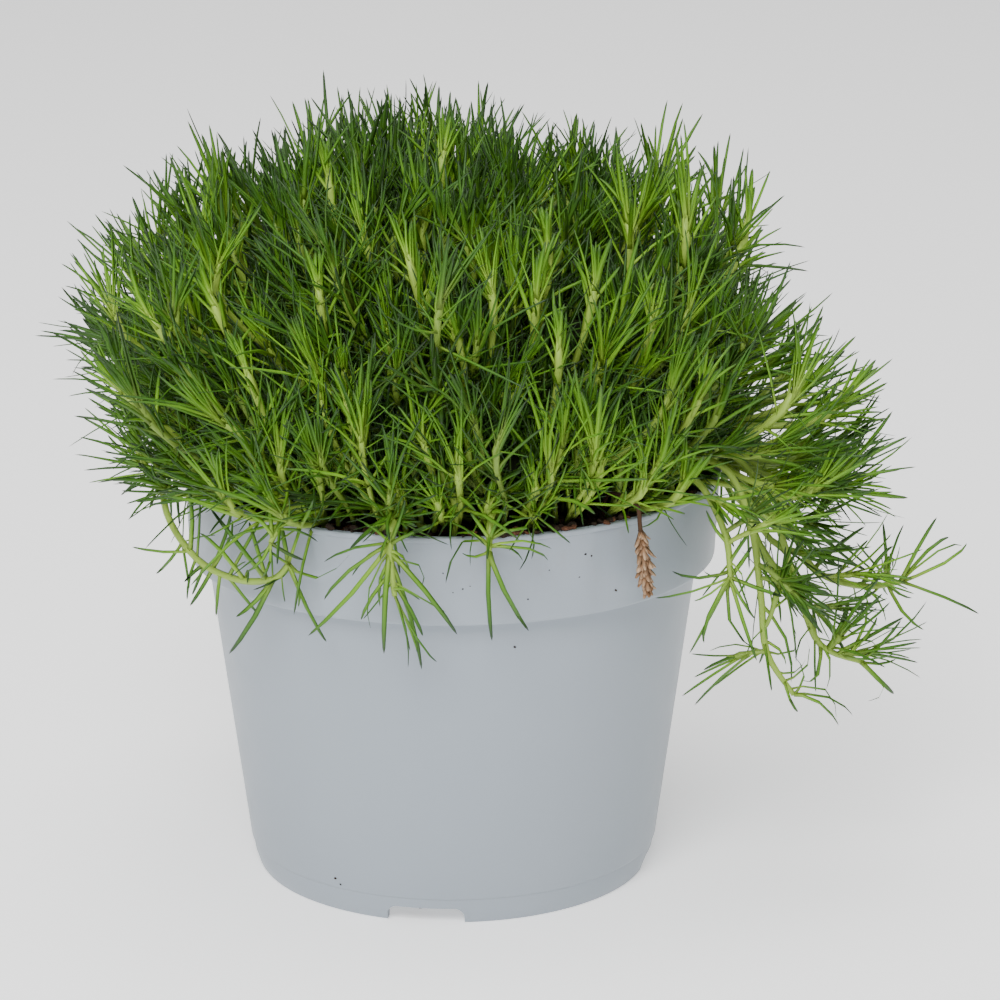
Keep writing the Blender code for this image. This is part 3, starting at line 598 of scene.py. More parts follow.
def grow_layer(pieces, rng, count, depth, lowest, tone, spread_tone, **kinds):
    """Shoots whose ends fill a dome at one share of the full reach."""
    floor_share = math.sin(math.radians(lowest))
    for index in range(count):
        height = floor_share + (1.0 - floor_share) * (index + 0.5) / count
        elevation = math.asin(height) + rng.normal(0, 0.05)
        azimuth = index * GOLDEN + rng.normal(0, 0.06) + depth * 7
        out = aim(azimuth, elevation)
        size = kinds.get("length", 15.5) * rng.uniform(0.74, 1.16)
        reach = reach_of(out) * depth * (1.0 - abs(rng.normal(0, 0.075)) + 0.04)
        front = frontness(out)
        if elevation < math.radians(LOWEST_SHOOT + FRONT_LIFT * front):
            continue
        if rng.random() < kinds.get("gaps", 0.0) + kinds.get("open", 0.5) * open_side(out, elevation):
            continue
        low = 1.0 - min(max(math.degrees(elevation) / 40.0, 0.0), 1.0)
        outward = (0.50 + 0.34 * low) * (1.0 - 0.72 * front)
        way = unit(out * outward + np.array([0, 0, 0.80 - 0.36 * low * (1.0 - front)]) + 0.27 * rng.normal(size=3))
        tip = RIM_MIDDLE + out * (reach - 0.9 * size * float(np.dot(way, out)))
        base = RIM_MIDDLE + aim(azimuth + rng.normal(0, 0.06), max(elevation * 0.8, 0.12)) * reach * 0.45
        if math.degrees(elevation) < 26 and depth > 0.9:
            spot = rng.uniform(30, 50) + 6.0 * front
            base = aim(azimuth + rng.normal(0, 0.1), 0.0) * spot + np.array([0, 0, 91.5])
        if math.hypot(tip[0], tip[1]) < RIM + 2 and tip[2] < POT_HEIGHT + 2.5:
            tip[2] = POT_HEIGHT + rng.uniform(2.5, 7.0)
        if math.hypot(tip[0], tip[1]) >= RIM + 2 and tip[2] < POT_HEIGHT - 4:
            continue
        if depth > 0.9 and covers_bold_fan(tip + 0.5 * size * way):
            continue
        bright = max(tone + rng.normal(0, spread_tone), kinds.get("darkest", 0.0))
        if rng.random() < kinds.get("young", 0.0):
            bright = rng.uniform(0.78, 0.97)
        settings = {key: kinds[key] for key in ("pairs", "extras", "radius") if key in kinds}
        grow(pieces[sector(out)], rng, base, tip, way, bright, length=size, spread=rng.uniform(0.6, 1.2), **settings)


def add_threads(foliage, rng, count):
    """Thin curled leaves that the stems carry below their fans."""
    picks = rng.integers(0, len(foliage.stems), count)
    steps = rng.integers(3, 7, count)
    spots = np.array([foliage.stems[i][0][k] for i, k in zip(picks, steps)])
    along = unit(np.array([foliage.stems[i][0][k] - foliage.stems[i][0][k - 1] for i, k in zip(picks, steps)]))
    across = unit(np.cross(along, rng.normal(size=(count, 3))))
    way = unit(along * rng.uniform(0.2, 1.0, (count, 1)) + across)
    side = unit(np.cross(along, way))
    bend = side * rng.normal(0, 0.28, (count, 1)) + along * rng.normal(0.12, 0.3, (count, 1))
    foliage.add_leaves(spots, way, side, bend, rng.uniform(8, 17, count), rng.uniform(0.17, 0.27, count),
                       rng.uniform(0.16, 0.62, count))


def sight(x, y):
    """The direction in which the camera sees one pixel of the frame."""
    across, down = x - FRAME_PIXELS / 2, y - FRAME_PIXELS / 2
    return CAMERA_AHEAD + (CAMERA_RIGHT * across - CAMERA_UP * down) / PIXELS_PER_SLOPE


def seen_at(x, y, depth):
    """The place at one depth that the camera sees at a pixel."""
    way = sight(x, y)
    return CAMERA_PLACE + way * (depth - CAMERA_PLACE[1]) / way[1]


def pixel_of(spot):
    away = spot - CAMERA_PLACE
    scale = PIXELS_PER_SLOPE / (away @ CAMERA_AHEAD)
    return np.array([FRAME_PIXELS / 2 + away @ CAMERA_RIGHT * scale, FRAME_PIXELS / 2 - away @ CAMERA_UP * scale])


def on_cushion(x, y, share):
    """Where the camera's line of sight through a pixel comes nearest to a share of the cushion's reach."""
    way = sight(x, y)
    best, nearest = None, math.inf
    for step in np.arange(690.0, 930.0, 1.5):
        spot = CAMERA_PLACE + way * step
        away = spot - RIM_MIDDLE
        far = float(np.linalg.norm(away))
        gap = far - share * reach_of(away / far)
        if gap < nearest:
            best, nearest = spot, gap
        if gap < 0.0:
            break
    return best


# Bold fans at the front: pixels where each starts and where it ends, and how widely it opens
BOLD_FANS = np.array([
    (635, 249, 610, 152, 0.8), (690, 249, 676, 148, 0.7), (747, 236, 752, 176, 0.9), (786, 420, 818, 322, 1.1),
    (832, 412, 872, 362, 0.9), (216, 312, 196, 258, 0.9), (459, 497, 455, 398, 1.1), (552, 505, 548, 388, 1.2),
    (650, 511, 634, 412, 0.9), (655, 325, 640, 270, 0.9), (594, 303, 598, 236, 0.9), (549, 250, 541, 200, 0.9),
    (536, 318, 538, 247, 0.8), (497, 305, 470, 225, 0.7), (413, 275, 395, 215, 0.9), (457, 335, 438, 290, 0.9),
    (560, 361, 556, 297, 0.7), (443, 520, 425, 465, 1.1), (486, 516, 500, 463, 1.0), (538, 496, 528, 452, 1.0),
    (427, 455, 412, 400, 1.0), (805, 505, 848, 440, 0.9), (680, 505, 690, 440, 1.0), (320, 300, 312, 248, 0.9),
    (250, 380, 232, 330, 0.9), (350, 420, 338, 362, 1.0), (600, 480, 606, 420, 1.0), (160, 330, 122, 282, 0.9),
    (330, 190, 322, 128, 0.9), (440, 170, 452, 112, 0.9), (700, 400, 712, 340, 0.9), (130, 400, 88, 352, 1.0),
])
BOLD_SHARE = 0.92
BOLD_MARGIN = 13.0


def covers_bold_fan(spot):
    """Whether a shoot would hide a bold fan from the front."""
    if spot[1] > 0.0:
        return False
    seen = pixel_of(spot)
    low, high = BOLD_FANS[:, 0:2], BOLD_FANS[:, 2:4]
    along = high - low
    share = np.clip(((seen - low) * along).sum(1) / (along**2).sum(1), 0.0, 1.0)
    gaps = np.linalg.norm(low + along * share[:, None] - seen, axis=1)
    return bool(gaps.min() < BOLD_MARGIN)


def grow_bold(pieces, rng):
    for x0, y0, x1, y1, spread in BOLD_FANS:
        low = on_cushion(x0, y0, BOLD_SHARE)
        high = seen_at(x1, y1, low[1] + 3.0)
        tall = float(np.linalg.norm(high - low))
        root = low * np.array([0.8, 0.8, 1.0]) - np.array([0.0, 0.0, 24.0])
        root[2] = max(root[2], 92.0)
        reach = min(1.0, (RIM - 6.0) / max(math.hypot(root[0], root[1]), 1.0))
        root[:2] *= reach
        grow(pieces[sector(unit(low - RIM_MIDDLE))], rng, root, low + 0.34 * (high - low), unit(high - low),
             rng.uniform(0.84, 0.97), length=0.78 * tall, radius=0.47, pairs=7, extras=2, stem_radius=0.85, spread=spread)


def grow_rim(pieces, rng, count):
    """Low tangled shoots over the compost along the rim."""
    for index in range(count):
        azimuth = index * GOLDEN
        out = aim(azimuth, 0.0)
        if -85.0 < math.degrees(math.atan2(out[1], out[0])) < -15.0 and rng.random() < 0.6:
            continue
        round_ = np.array([-out[1], out[0], 0.0])
        start = rng.uniform(38, 55)
        upright = rng.random() < 0.6
        if upright:
            way = unit(out * rng.uniform(-0.1, 0.5) + round_ * rng.normal(0, 0.25) + np.array([0, 0, 1.0]))
            rise = rng.uniform(3, 13)
        else:
            way = unit(out * rng.uniform(0.0, 1.0) + round_ * rng.normal(0, 0.9) + np.array([0, 0, rng.uniform(0.0, 0.5)]))
            rise = rng.uniform(4, 10)
        base = out * start + np.array([0, 0, 91.2])
        tip = base + np.array([0, 0, rise]) + way * rng.uniform(5, 13) * np.array([1, 1, 0.4])
        tip[2] = max(tip[2], POT_HEIGHT + 3.0)
        tone = 0.88 if rng.random() < 0.22 else 0.52 + rng.normal(0, 0.15)
        grow(pieces[sector(out)], rng, base, tip, way, tone, length=rng.uniform(12, 18), radius=0.38,
             pairs=6, extras=2, stem_radius=0.9, spread=1.1, lift=0.03)


# Stems over the rim. Each tuft is the number of a stem point and the leaf tips round it.
TRAILERS = {
    "trailer_left": {
        "stem": [(-50, -11, 86), (-52, -12, 96), (-62, -17, 97), (-62, -25, 88),
                 (-55, -35, 80.5), (-46, -45, 79), (-38, -51.5, 81), (-34.5, -54, 85)],
        "tufts": [],
    },
    "trailer_front_left": {
        "stem": [(-27, -43, 86), (-28, -45, 96), (-34, -54, 97), (-38, -58, 91)],
        "tufts": [],
    },
    "trailer_front_middle": {
        "stem": [(-10, -49, 86), (-10, -51, 96), (-12, -61, 97), (-13, -65, 91), (-12, -67, 82)],
        "tufts": [],
    },
    "trailer_front": {
        "stem": [(9, -49, 86), (9, -51, 96), (8, -61, 97), (7.5, -65, 91)],
        "tufts": [],
    },
    "trailer_right_near": {
        "stem": [(42, -28, 86), (43, -29, 97), (52, -36, 98), (58, -42, 88), (59, -45, 79)],
        "tufts": [],
    },
    "trailer_right_low": {
        "stem": [(45, -21, 86), (46, -21.5, 98), (58, -28, 99), (64, -32, 88),
                 (66.5, -34, 72), (68, -35, 59), (74, -36, 49.5)],
        "tufts": [],
    },
    "trailer_right_outer": {
        "stem": [(47, -14, 86), (48, -14.3, 98), (61, -19, 99), (70, -22, 86),
                 (76, -22, 68), (81, -21, 56), (90, -21, 52)],
        "tufts": [(3, [(84, -28, 90), (80, -16, 94)])],
    },
    "trailer_right_long": {
        "stem": [(48.5, -6, 86), (49.5, -6, 98), (63, -9, 98), (73, -13, 84),
                 (80, -13, 71), (91, -10, 66), (100, -7, 66)],
        "tufts": [(4, [(92, -4, 78)])],
    },
    "trailer_right_back": {
        "stem": [(42, 24, 86), (43, 24.5, 97), (54, 31, 98), (61, 35, 88), (64, 37, 76), (69, 40, 70)],
        "tufts": [(3, [(73, 35, 93), (63, 49, 90)]),
                  (5, [(80, 44, 60), (84, 40, 73), (69, 52, 62), (70, 42, 54)])],
    },
    "trailer_back": {
        "stem": [(-6, 48.5, 86), (-6, 50, 97), (-8, 62, 98), (-9, 68, 89), (-9, 70, 78)],
        "tufts": [(3, [(6, 77, 95), (-24, 76, 93)]),
                  (4, [(-18, 76, 64), (-2, 78, 63), (-9, 80, 70), (-24, 73, 76)])],
    },
    "trailer_left_back": {
        "stem": [(-42, 24, 86), (-43, 24.5, 97), (-54, 31, 98), (-62, 36, 90), (-66, 39, 82)],
        "tufts": [(3, [(-76, 34, 96), (-66, 50, 93)]),
                  (4, [(-78, 44, 72), (-80, 36, 82), (-68, 52, 74), (-66, 43, 67)])],
    },
}

# Leaves on the stems in front, as seen: pixels of the start, middle and end, and the width
SEEN_LEAVES = {
    "trailer_left": [
        (197, 546, 192, 520, 189, 488, 1.1), (263, 573, 241, 548, 210, 508, 1.0), (243, 566, 222, 552, 200, 533, 1.0),
        (192, 552, 162, 552, 132, 547, 0.8), (206, 562, 196, 570, 184, 582, 0.9), (215, 568, 203, 586, 190, 606, 0.9),
        (207, 564, 199, 578, 192, 595, 0.8), (223, 570, 218, 592, 216, 616, 0.8), (248, 560, 248, 570, 247, 584, 0.6),
        (222, 556, 235, 532, 245, 514, 0.8), (232, 560, 250, 538, 273, 518, 0.8), (218, 560, 226, 535, 240, 508, 1.0),
        (203, 556, 199, 530, 200, 500, 0.6), (199, 559, 190, 575, 187, 600, 0.7), (182, 540, 170, 560, 156, 574, 0.7),
        (277, 584, 254, 618, 229, 654, 1.15), (275, 582, 256, 601, 236, 617, 1.0), (296, 552, 283, 576, 253, 590, 1.1),
        (297, 560, 298, 585, 298, 607, 0.9), (295, 568, 308, 610, 330, 640, 0.8), (292, 560, 318, 578, 354, 551, 0.9),
        (265, 576, 257, 548, 249, 522, 0.9), (291, 556, 283, 534, 277, 512, 1.0), (292, 553, 300, 530, 307, 505, 1.0),
        (286, 560, 276, 556, 266, 548, 0.6), (284, 580, 283, 592, 285, 602, 0.5),
    ],
    "trailer_front_left": [
        (273, 540, 262, 560, 246, 572, 0.8), (273, 541, 287, 553, 304, 560, 0.8), (274, 538, 262, 522, 243, 512, 0.9),
        (275, 536, 283, 520, 297, 508, 0.9), (272, 542, 270, 562, 262, 578, 0.7), (276, 535, 270, 512, 272, 495, 0.9),
        (280, 528, 296, 530, 318, 542, 0.7), (278, 530, 300, 518, 322, 522, 0.7),
    ],
    "trailer_front_middle": [
        (378, 546, 350, 596, 308, 636, 1.25), (379, 545, 348, 572, 324, 600, 1.0), (384, 544, 354, 548, 324, 562, 0.7),
        (381, 552, 369, 590, 371, 629, 0.5), (386, 575, 371, 598, 361, 620, 0.8), (386, 548, 385, 600, 384, 654, 1.2),
        (395, 556, 410, 615, 422, 669, 1.0), (397, 585, 412, 612, 423, 636, 0.9), (396, 550, 426, 592, 457, 630, 1.1),
        (397, 600, 403, 622, 410, 651, 0.5), (397, 601, 406, 630, 408, 668, 0.4), (398, 602, 412, 634, 417, 652, 0.5),
        (397, 598, 418, 640, 437, 662, 0.5), (392, 590, 404, 589, 420, 600, 0.9), (389, 560, 380, 580, 380, 607, 0.8),
        (397, 560, 420, 566, 421, 588, 0.6), (392, 542, 400, 520, 405, 500, 0.9), (390, 545, 376, 530, 355, 518, 0.9),
        (394, 544, 414, 532, 434, 524, 0.9), (392, 548, 404, 558, 411, 577, 1.0), (388, 545, 368, 556, 352, 576, 0.6),
    ],
    "trailer_front": [
        (488, 551, 488, 595, 492, 641, 1.1), (492, 550, 505, 592, 527, 629, 1.1), (493, 545, 510, 548, 523, 561, 0.8),
        (494, 541, 528, 528, 529, 557, 0.8), (493, 547, 524, 541, 552, 549, 0.7), (494, 549, 530, 549, 548, 561, 0.6),
        (490, 540, 480, 526, 470, 512, 1.0), (492, 540, 495, 525, 507, 505, 1.0), (488, 549, 475, 557, 462, 553, 0.7),
        (487, 546, 462, 542, 446, 580, 1.0), (489, 543, 470, 532, 450, 536, 0.8), (493, 540, 510, 522, 534, 518, 0.8),
    ],
    "trailer_right_near": [
        (728, 582, 712, 612, 689, 654, 1.2), (730, 580, 743, 620, 757, 661, 1.1), (726, 576, 690, 592, 655, 598, 0.8),
        (727, 574, 698, 578, 672, 571, 0.7), (728, 580, 708, 618, 704, 643, 1.0), (731, 582, 730, 622, 758, 651, 0.8),
        (727, 581, 710, 594, 694, 601, 0.7), (731, 580, 742, 600, 755, 619, 0.7), (733, 578, 757, 588, 784, 597, 0.9),
        (730, 576, 742, 562, 752, 546, 1.0), (729, 566, 741, 545, 757, 522, 1.0), (727, 572, 713, 577, 702, 567, 0.7),
        (727, 545, 716, 530, 706, 510, 0.8), (728, 548, 738, 535, 742, 515, 0.8), (731, 560, 742, 575, 745, 600, 0.7),
    ],
    "trailer_right_low": [
        (793, 692, 820, 703, 839, 726, 0.8), (796, 692, 830, 698, 853, 716, 0.8), (784, 684, 790, 700, 798, 712, 0.8),
        (790, 688, 826, 690, 836, 720, 0.5), (786, 684, 808, 664, 805, 636, 0.5), (796, 690, 804, 675, 794, 656, 0.6),
        (776, 668, 795, 672, 806, 658, 0.5), (768, 648, 795, 650, 790, 618, 0.5), (766, 605, 786, 640, 791, 683, 1.0),
        (766, 615, 766, 640, 759, 664, 1.0), (766, 625, 752, 640, 746, 658, 0.6), (768, 640, 780, 650, 786, 665, 0.7),
    ],
    "trailer_right_outer": [
        (862, 663, 878, 679, 894, 694, 1.2), (863, 661, 880, 664, 896, 659, 1.0), (834, 650, 862, 640, 876, 646, 0.8),
        (836, 649, 870, 636, 904, 617, 0.9), (860, 660, 882, 644, 901, 620, 0.9), (845, 655, 866, 622, 864, 589, 0.7),
        (834, 648, 843, 622, 848, 600, 1.3), (820, 646, 817, 676, 803, 680, 0.9), (863, 662, 884, 688, 868, 701, 0.6),
        (850, 657, 868, 634, 877, 617, 0.7), (812, 625, 800, 640, 796, 660, 0.7), (818, 636, 830, 660, 826, 690, 0.7),
    ],
    "trailer_right_long": [
        (903, 580, 917, 550, 937, 517, 1.0), (904, 580, 928, 550, 949, 537, 1.0), (905, 580, 946, 562, 967, 543, 0.8),
        (905, 579, 940, 550, 962, 546, 0.7), (903, 584, 946, 598, 979, 614, 0.8), (888, 587, 903, 612, 924, 630, 1.0),
        (866, 582, 878, 560, 893, 546, 1.0), (872, 583, 890, 556, 892, 568, 0.6), (880, 586, 862, 600, 840, 601, 0.6),
        (890, 586, 900, 594, 912, 598, 0.8), (862, 583, 878, 600, 886, 622, 0.8), (838, 578, 852, 556, 868, 540, 0.9),
    ],
}
SEEN_DEPTH = {
    "trailer_left": -44.0, "trailer_front_left": -62.0, "trailer_front_middle": -67.0, "trailer_front": -66.0,
    "trailer_right_near": -46.0, "trailer_right_low": -36.0, "trailer_right_outer": -23.0, "trailer_right_long": -10.0,
}

# Side shoots along each hanging stem, which fill out the bunch on the right
SIDE_SHOOTS = {
    "trailer_right_near": 3, "trailer_right_low": 4, "trailer_right_outer": 5,
    "trailer_right_long": 5, "trailer_right_back": 6, "trailer_back": 4, "trailer_left_back": 5,
}


def smooth_route(points, per_span):
    route = []
    for i in range(len(points) - 1):
        before, after = points[max(i - 1, 0)], points[min(i + 2, len(points) - 1)]
        a, b = points[i], points[i + 1]
        for step in range(per_span):
            t = step / per_span
            route.append((
                2 * a + (b - before) * t + (2 * before - 5 * a + 4 * b - after) * t**2
                + (3 * a - before - 3 * b + after) * t**3
            ) / 2)
    route.append(points[-1])
    return np.array(route)


def clear_of_pot(spot):
    """The same place, moved straight out where it would be in the pot or its wall."""
    across = math.hypot(spot[0], spot[1])
    if spot[2] > POT_HEIGHT + 1.0 or across > RIM + 1.5:
        return spot
    return spot * np.array([(RIM + 1.5) / across, (RIM + 1.5) / across, 1.0])


def add_seen_leaves(foliage, rng, rows, depth, route):
    """Leaves that run through three seen places, each from the nearest place of its stem."""
    for x0, y0, x1, y1, x2, y2, width in rows:
        start = seen_at(x0, y0, depth)
        across = np.linalg.norm([pixel_of(spot) - (x0, y0) for spot in route], axis=1)
        start = route[int(across.argmin())]
        middle = clear_of_pot(seen_at(x1, y1, start[1] - 1.5 + rng.normal(0, 1.5)))
        end = clear_of_pot(seen_at(x2, y2, start[1] + rng.normal(0, 3.5)))
        way, bend = 4 * middle - 3 * start - end, 2 * start + 2 * end - 4 * middle
        length = np.linalg.norm(end - start)
        side = unit(np.cross(way, rng.normal(0, 0.4, 3) + np.array([0.0, 1.0, 0.0])))
        foliage.add_leaves(start[None], way[None] / length, side[None], bend[None] / length, np.array([length]),
                           np.array([width / 2]), np.array([np.clip(rng.normal(0.62, 0.14), 0.05, 0.95)]))


def grow_trailer(name, plan, rng, leaves):
    foliage = Foliage()
    stem = np.array(plan["stem"], float)
    per_span = 5
    route = smooth_route(stem, per_span)
    share = np.linspace(0.0, 1.0, len(route))
    foliage.add_stem(route, np.interp(share, [0.0, 0.8, 1.0], [0.8, 0.8, 0.6]), 0.78)
    for number, tips in plan["tufts"]:
        start = stem[number]
        targets = np.array(tips, float)
        extra = []
        for _ in range(len(tips)):
            picked = targets[rng.integers(len(tips))] - start
            extra.append(start + unit(picked + rng.normal(0, 4.5, 3)) * np.linalg.norm(picked) * rng.uniform(0.6, 1.0))
        targets = np.concatenate([targets, extra])
        vector = targets - start
        length = np.linalg.norm(vector, axis=1)
        count = len(targets)
        bend = np.column_stack([rng.normal(0, 0.05, count), rng.normal(0, 0.05, count), rng.normal(-0.05, 0.09, count)])
        way = vector / length[:, None] - bend
        side = unit(np.cross(way, rng.normal(size=(count, 3))))
        tone = np.clip(rng.normal(0.55, 0.1, count), 0.05, 0.95)
        foliage.add_leaves(np.repeat(start[None], count, 0), way, side, bend, length, rng.uniform(0.38, 0.47, count), tone)
    seen = SEEN_LEAVES.get(name, [])
    add_seen_leaves(foliage, rng, seen, SEEN_DEPTH.get(name, 0.0), route[2 * per_span:])
    # Opposite leaves along the part of the stem that is past the rim
    for i in range(2 * per_span + 2, len(route) - 1, 6 if seen else 2):
        along = unit(route[i + 1] - route[i - 1])
        roll = rng.uniform(0, math.tau)
        first = unit(np.cross(along, rng.normal(size=3)))
        second = np.cross(along, first)
        angle = np.array([roll, roll + math.pi])
        radial = first * np.cos(angle)[:, None] + second * np.sin(angle)[:, None]
        tilt = rng.uniform(0.6, 1.0, 2)[:, None]
        way = unit(along * np.cos(tilt) + radial * np.sin(tilt))
        side = unit(np.cross(along, way))
        bend = radial * rng.normal(-0.05, 0.1, (2, 1)) + np.array([0, 0, -0.04])
        foliage.add_leaves(np.repeat(route[i][None], 2, 0), way, side, bend, rng.uniform(8, 14, 2),
                           rng.uniform(0.30, 0.42, 2), np.clip(rng.normal(0.55, 0.1, 2), 0.05, 0.95))
    # Side shoots with their own tufts
    for _ in range(SIDE_SHOOTS.get(name, 0)):
        i = int(rng.integers(2 * per_span, len(route) - 2))
        spot = route[i]
        out = unit(np.array([spot[0], spot[1], 0.0]))
        way = unit(out * rng.uniform(0.2, 1.0) + rng.normal(0, 0.45, 3) + np.array([0, 0, rng.uniform(-0.2, 0.7)]))
        tip = spot + way * rng.uniform(5, 11)
        if math.hypot(tip[0], tip[1]) < RIM + 3 and tip[2] < POT_HEIGHT:
            continue
        tone = 0.88 if rng.random() < 0.2 else rng.normal(0.52, 0.12)
        grow(foliage, rng, spot, tip, way, tone, length=rng.uniform(12, 17.5), radius=0.36, pairs=5,
             extras=1, stem_radius=0.7, spread=1.15, lift=0.0)
    return foliage.build(f"leaves_{name}", leaves, "plant", [name])


# Shoots that fill the bunch on the right: where each leaves the plant, and where its tuft starts
BUNCH = [
    ((56, -8, 98), (79, -16, 92)), ((58, -2, 99), (84, -8, 98)), ((57, -14, 98), (76, -24, 88)),
    ((56, 4, 99), (82, 3, 92)), ((58, -10, 102), (86, -14, 106)), ((60, -6, 99), (92, -12, 94)),
    ((57, -18, 98), (73, -30, 94)), ((60, 2, 96), (88, -1, 86)), ((58, -10, 97), (80, -20, 80)),
    ((60, -4, 96), (86, -12, 76)), ((62, -12, 96), (82, -20, 70)), ((60, 6, 98), (78, 12, 84)),
    ((58, -16, 99), (82, -24, 100)), ((60, 0, 100), (90, -4, 104)), ((60, 8, 100), (84, 10, 100)),
    ((60, -8, 98), (94, -8, 84)), ((60, -14, 96), (88, -22, 88)), ((61, -20, 96), (78, -30, 80)),
    ((60, -10, 104), (82, -12, 114)), ((60, 2, 104), (84, 2, 112)), ((58, -20, 100), (74, -32, 104)),
    ((62, -6, 94), (78, -12, 62)), ((62, -14, 94), (74, -24, 66)), ((60, 4, 96), (80, 4, 72)),
]


# Share of each shoot's length at which its tuft starts, with the tuft's own leaves beyond
BUNCH_REACH = 0.74


def grow_bunch(foliage, rng):
    for start, end in BUNCH:
        for repeat in range(1):
            base = np.array(start, float) + rng.normal(0, 1.5, 3)
            tip = base + (np.array(end, float) - base) * BUNCH_REACH + rng.normal(0, 3.0 * repeat + 0.5, 3)
            base[2] = max(base[2], POT_HEIGHT + 2.0)
            out = unit(np.array([tip[0], tip[1], 0.0]))
            way = unit(unit(tip - base) * 0.5 + out * 0.3 + np.array([0, -0.1, 0.45]) + rng.normal(0, 0.2, 3))
            tone = 0.9 if rng.random() < 0.25 else rng.normal(0.55, 0.12)
            grow(foliage, rng, base, tip, way, tone, length=rng.uniform(13, 18.5), radius=0.40, pairs=5,
                 extras=1, stem_radius=0.75)


# Pot

def pot_profile():
    """The pot's section: up the inside from the floor, over the lip, down the outside."""
    inside = [
        (0.0, FLOOR_TOP), (DRAIN_RING - 8, FLOOR_TOP), (DRAIN_RING + 8, FLOOR_TOP),
        (CREASE_R - WALL - 1.5, FLOOR_TOP), (CREASE_R - WALL, FLOOR_TOP + 1.5),
        (BODY_TOP - WALL, COLLAR_Z - 0.6), (BODY_TOP - WALL + 0.6, COLLAR_Z + WALL),
        (COLLAR_LOW - WALL - 0.6, COLLAR_Z + WALL), (COLLAR_LOW - WALL, COLLAR_Z + WALL + 0.6),
        (RIM - LIP_PROUD - WALL, POT_HEIGHT - 2 * LIP_HEIGHT),
        (RIM - LIP_WIDTH, POT_HEIGHT - LIP_HEIGHT), (RIM - LIP_WIDTH, POT_HEIGHT - 0.25),
        (RIM - LIP_WIDTH + 0.25, POT_HEIGHT),
    ]
    lip = []
    for step in range(5):
        turn = math.pi / 2 * (1 - step / 4)
        lip.append((RIM - 0.4 + 0.4 * math.cos(turn), POT_HEIGHT - 0.4 + 0.4 * math.sin(turn)))
    lip += [(RIM, POT_HEIGHT - LIP_HEIGHT + 0.25), (RIM - 0.12, POT_HEIGHT - LIP_HEIGHT + 0.05),
            (RIM - LIP_PROUD, POT_HEIGHT - LIP_HEIGHT - 0.15)]
    collar_top = POT_HEIGHT - LIP_HEIGHT - 0.5
    collar = []
    for step in range(1, 16):
        z = collar_top + (COLLAR_Z + 0.5 - collar_top) * step / 15
        r = RIM - LIP_PROUD + (COLLAR_LOW - RIM + LIP_PROUD) * (POT_HEIGHT - LIP_HEIGHT - z) / (
            POT_HEIGHT - LIP_HEIGHT - COLLAR_Z)
        collar.append((r, z))
    collar += [(COLLAR_LOW - 0.06, COLLAR_Z + 0.2), (COLLAR_LOW - 0.3, COLLAR_Z),
               (BODY_TOP + 0.5, COLLAR_Z), (BODY_TOP + 0.12, COLLAR_Z - 0.12), (BODY_TOP - 0.05, COLLAR_Z - 0.6)]
    body = []
    for step in range(1, 14):
        z = COLLAR_Z - 0.6 + (CREASE_Z + 0.3 - COLLAR_Z + 0.6) * step / 13
        r = CREASE_R + (BODY_TOP - CREASE_R) * (z - CREASE_Z) / (COLLAR_Z - CREASE_Z)
        body.append((r, z))
    foot = [
        (CREASE_R - 0.05, CREASE_Z + 0.05), (CREASE_R - 0.3, CREASE_Z - 0.15), (CREASE_R - 0.36, CREASE_Z - 0.6),
        (CREASE_R - 0.75, 3.0), (FOOT + 0.12, 0.5), (FOOT - 0.15, 0.1), (FOOT - 0.5, 0.0),
        (FOOT - FOOT_WIDTH, 0.0), (FOOT - FOOT_WIDTH, FLOOR_UNDER), (DRAIN_RING + 8, FLOOR_UNDER),
        (DRAIN_RING - 8, FLOOR_UNDER), (0.0, FLOOR_UNDER),
    ]
    return inside + lip + collar + body + foot


# Soft dents in the collar: azimuth in degrees, width in degrees, depth in millimetres
DENTS = [(-57.0, 3.2, 0.28), (-61.5, 2.2, -0.12), (-127.0, 2.6, 0.22), (-131.0, 2.0, -0.10),
         (40.0, 4.0, 0.2), (150.0, 4.0, 0.2)]


def dent(azimuth, z):
    low = min(max((z - COLLAR_Z) / 4.0, 0.0), 1.0)
    total = 0.0
    for centre, width, depth in DENTS:
        away = (azimuth - centre + 180.0) % 360.0 - 180.0
        total += depth * math.exp(-((away / width) ** 2))
    return total * low


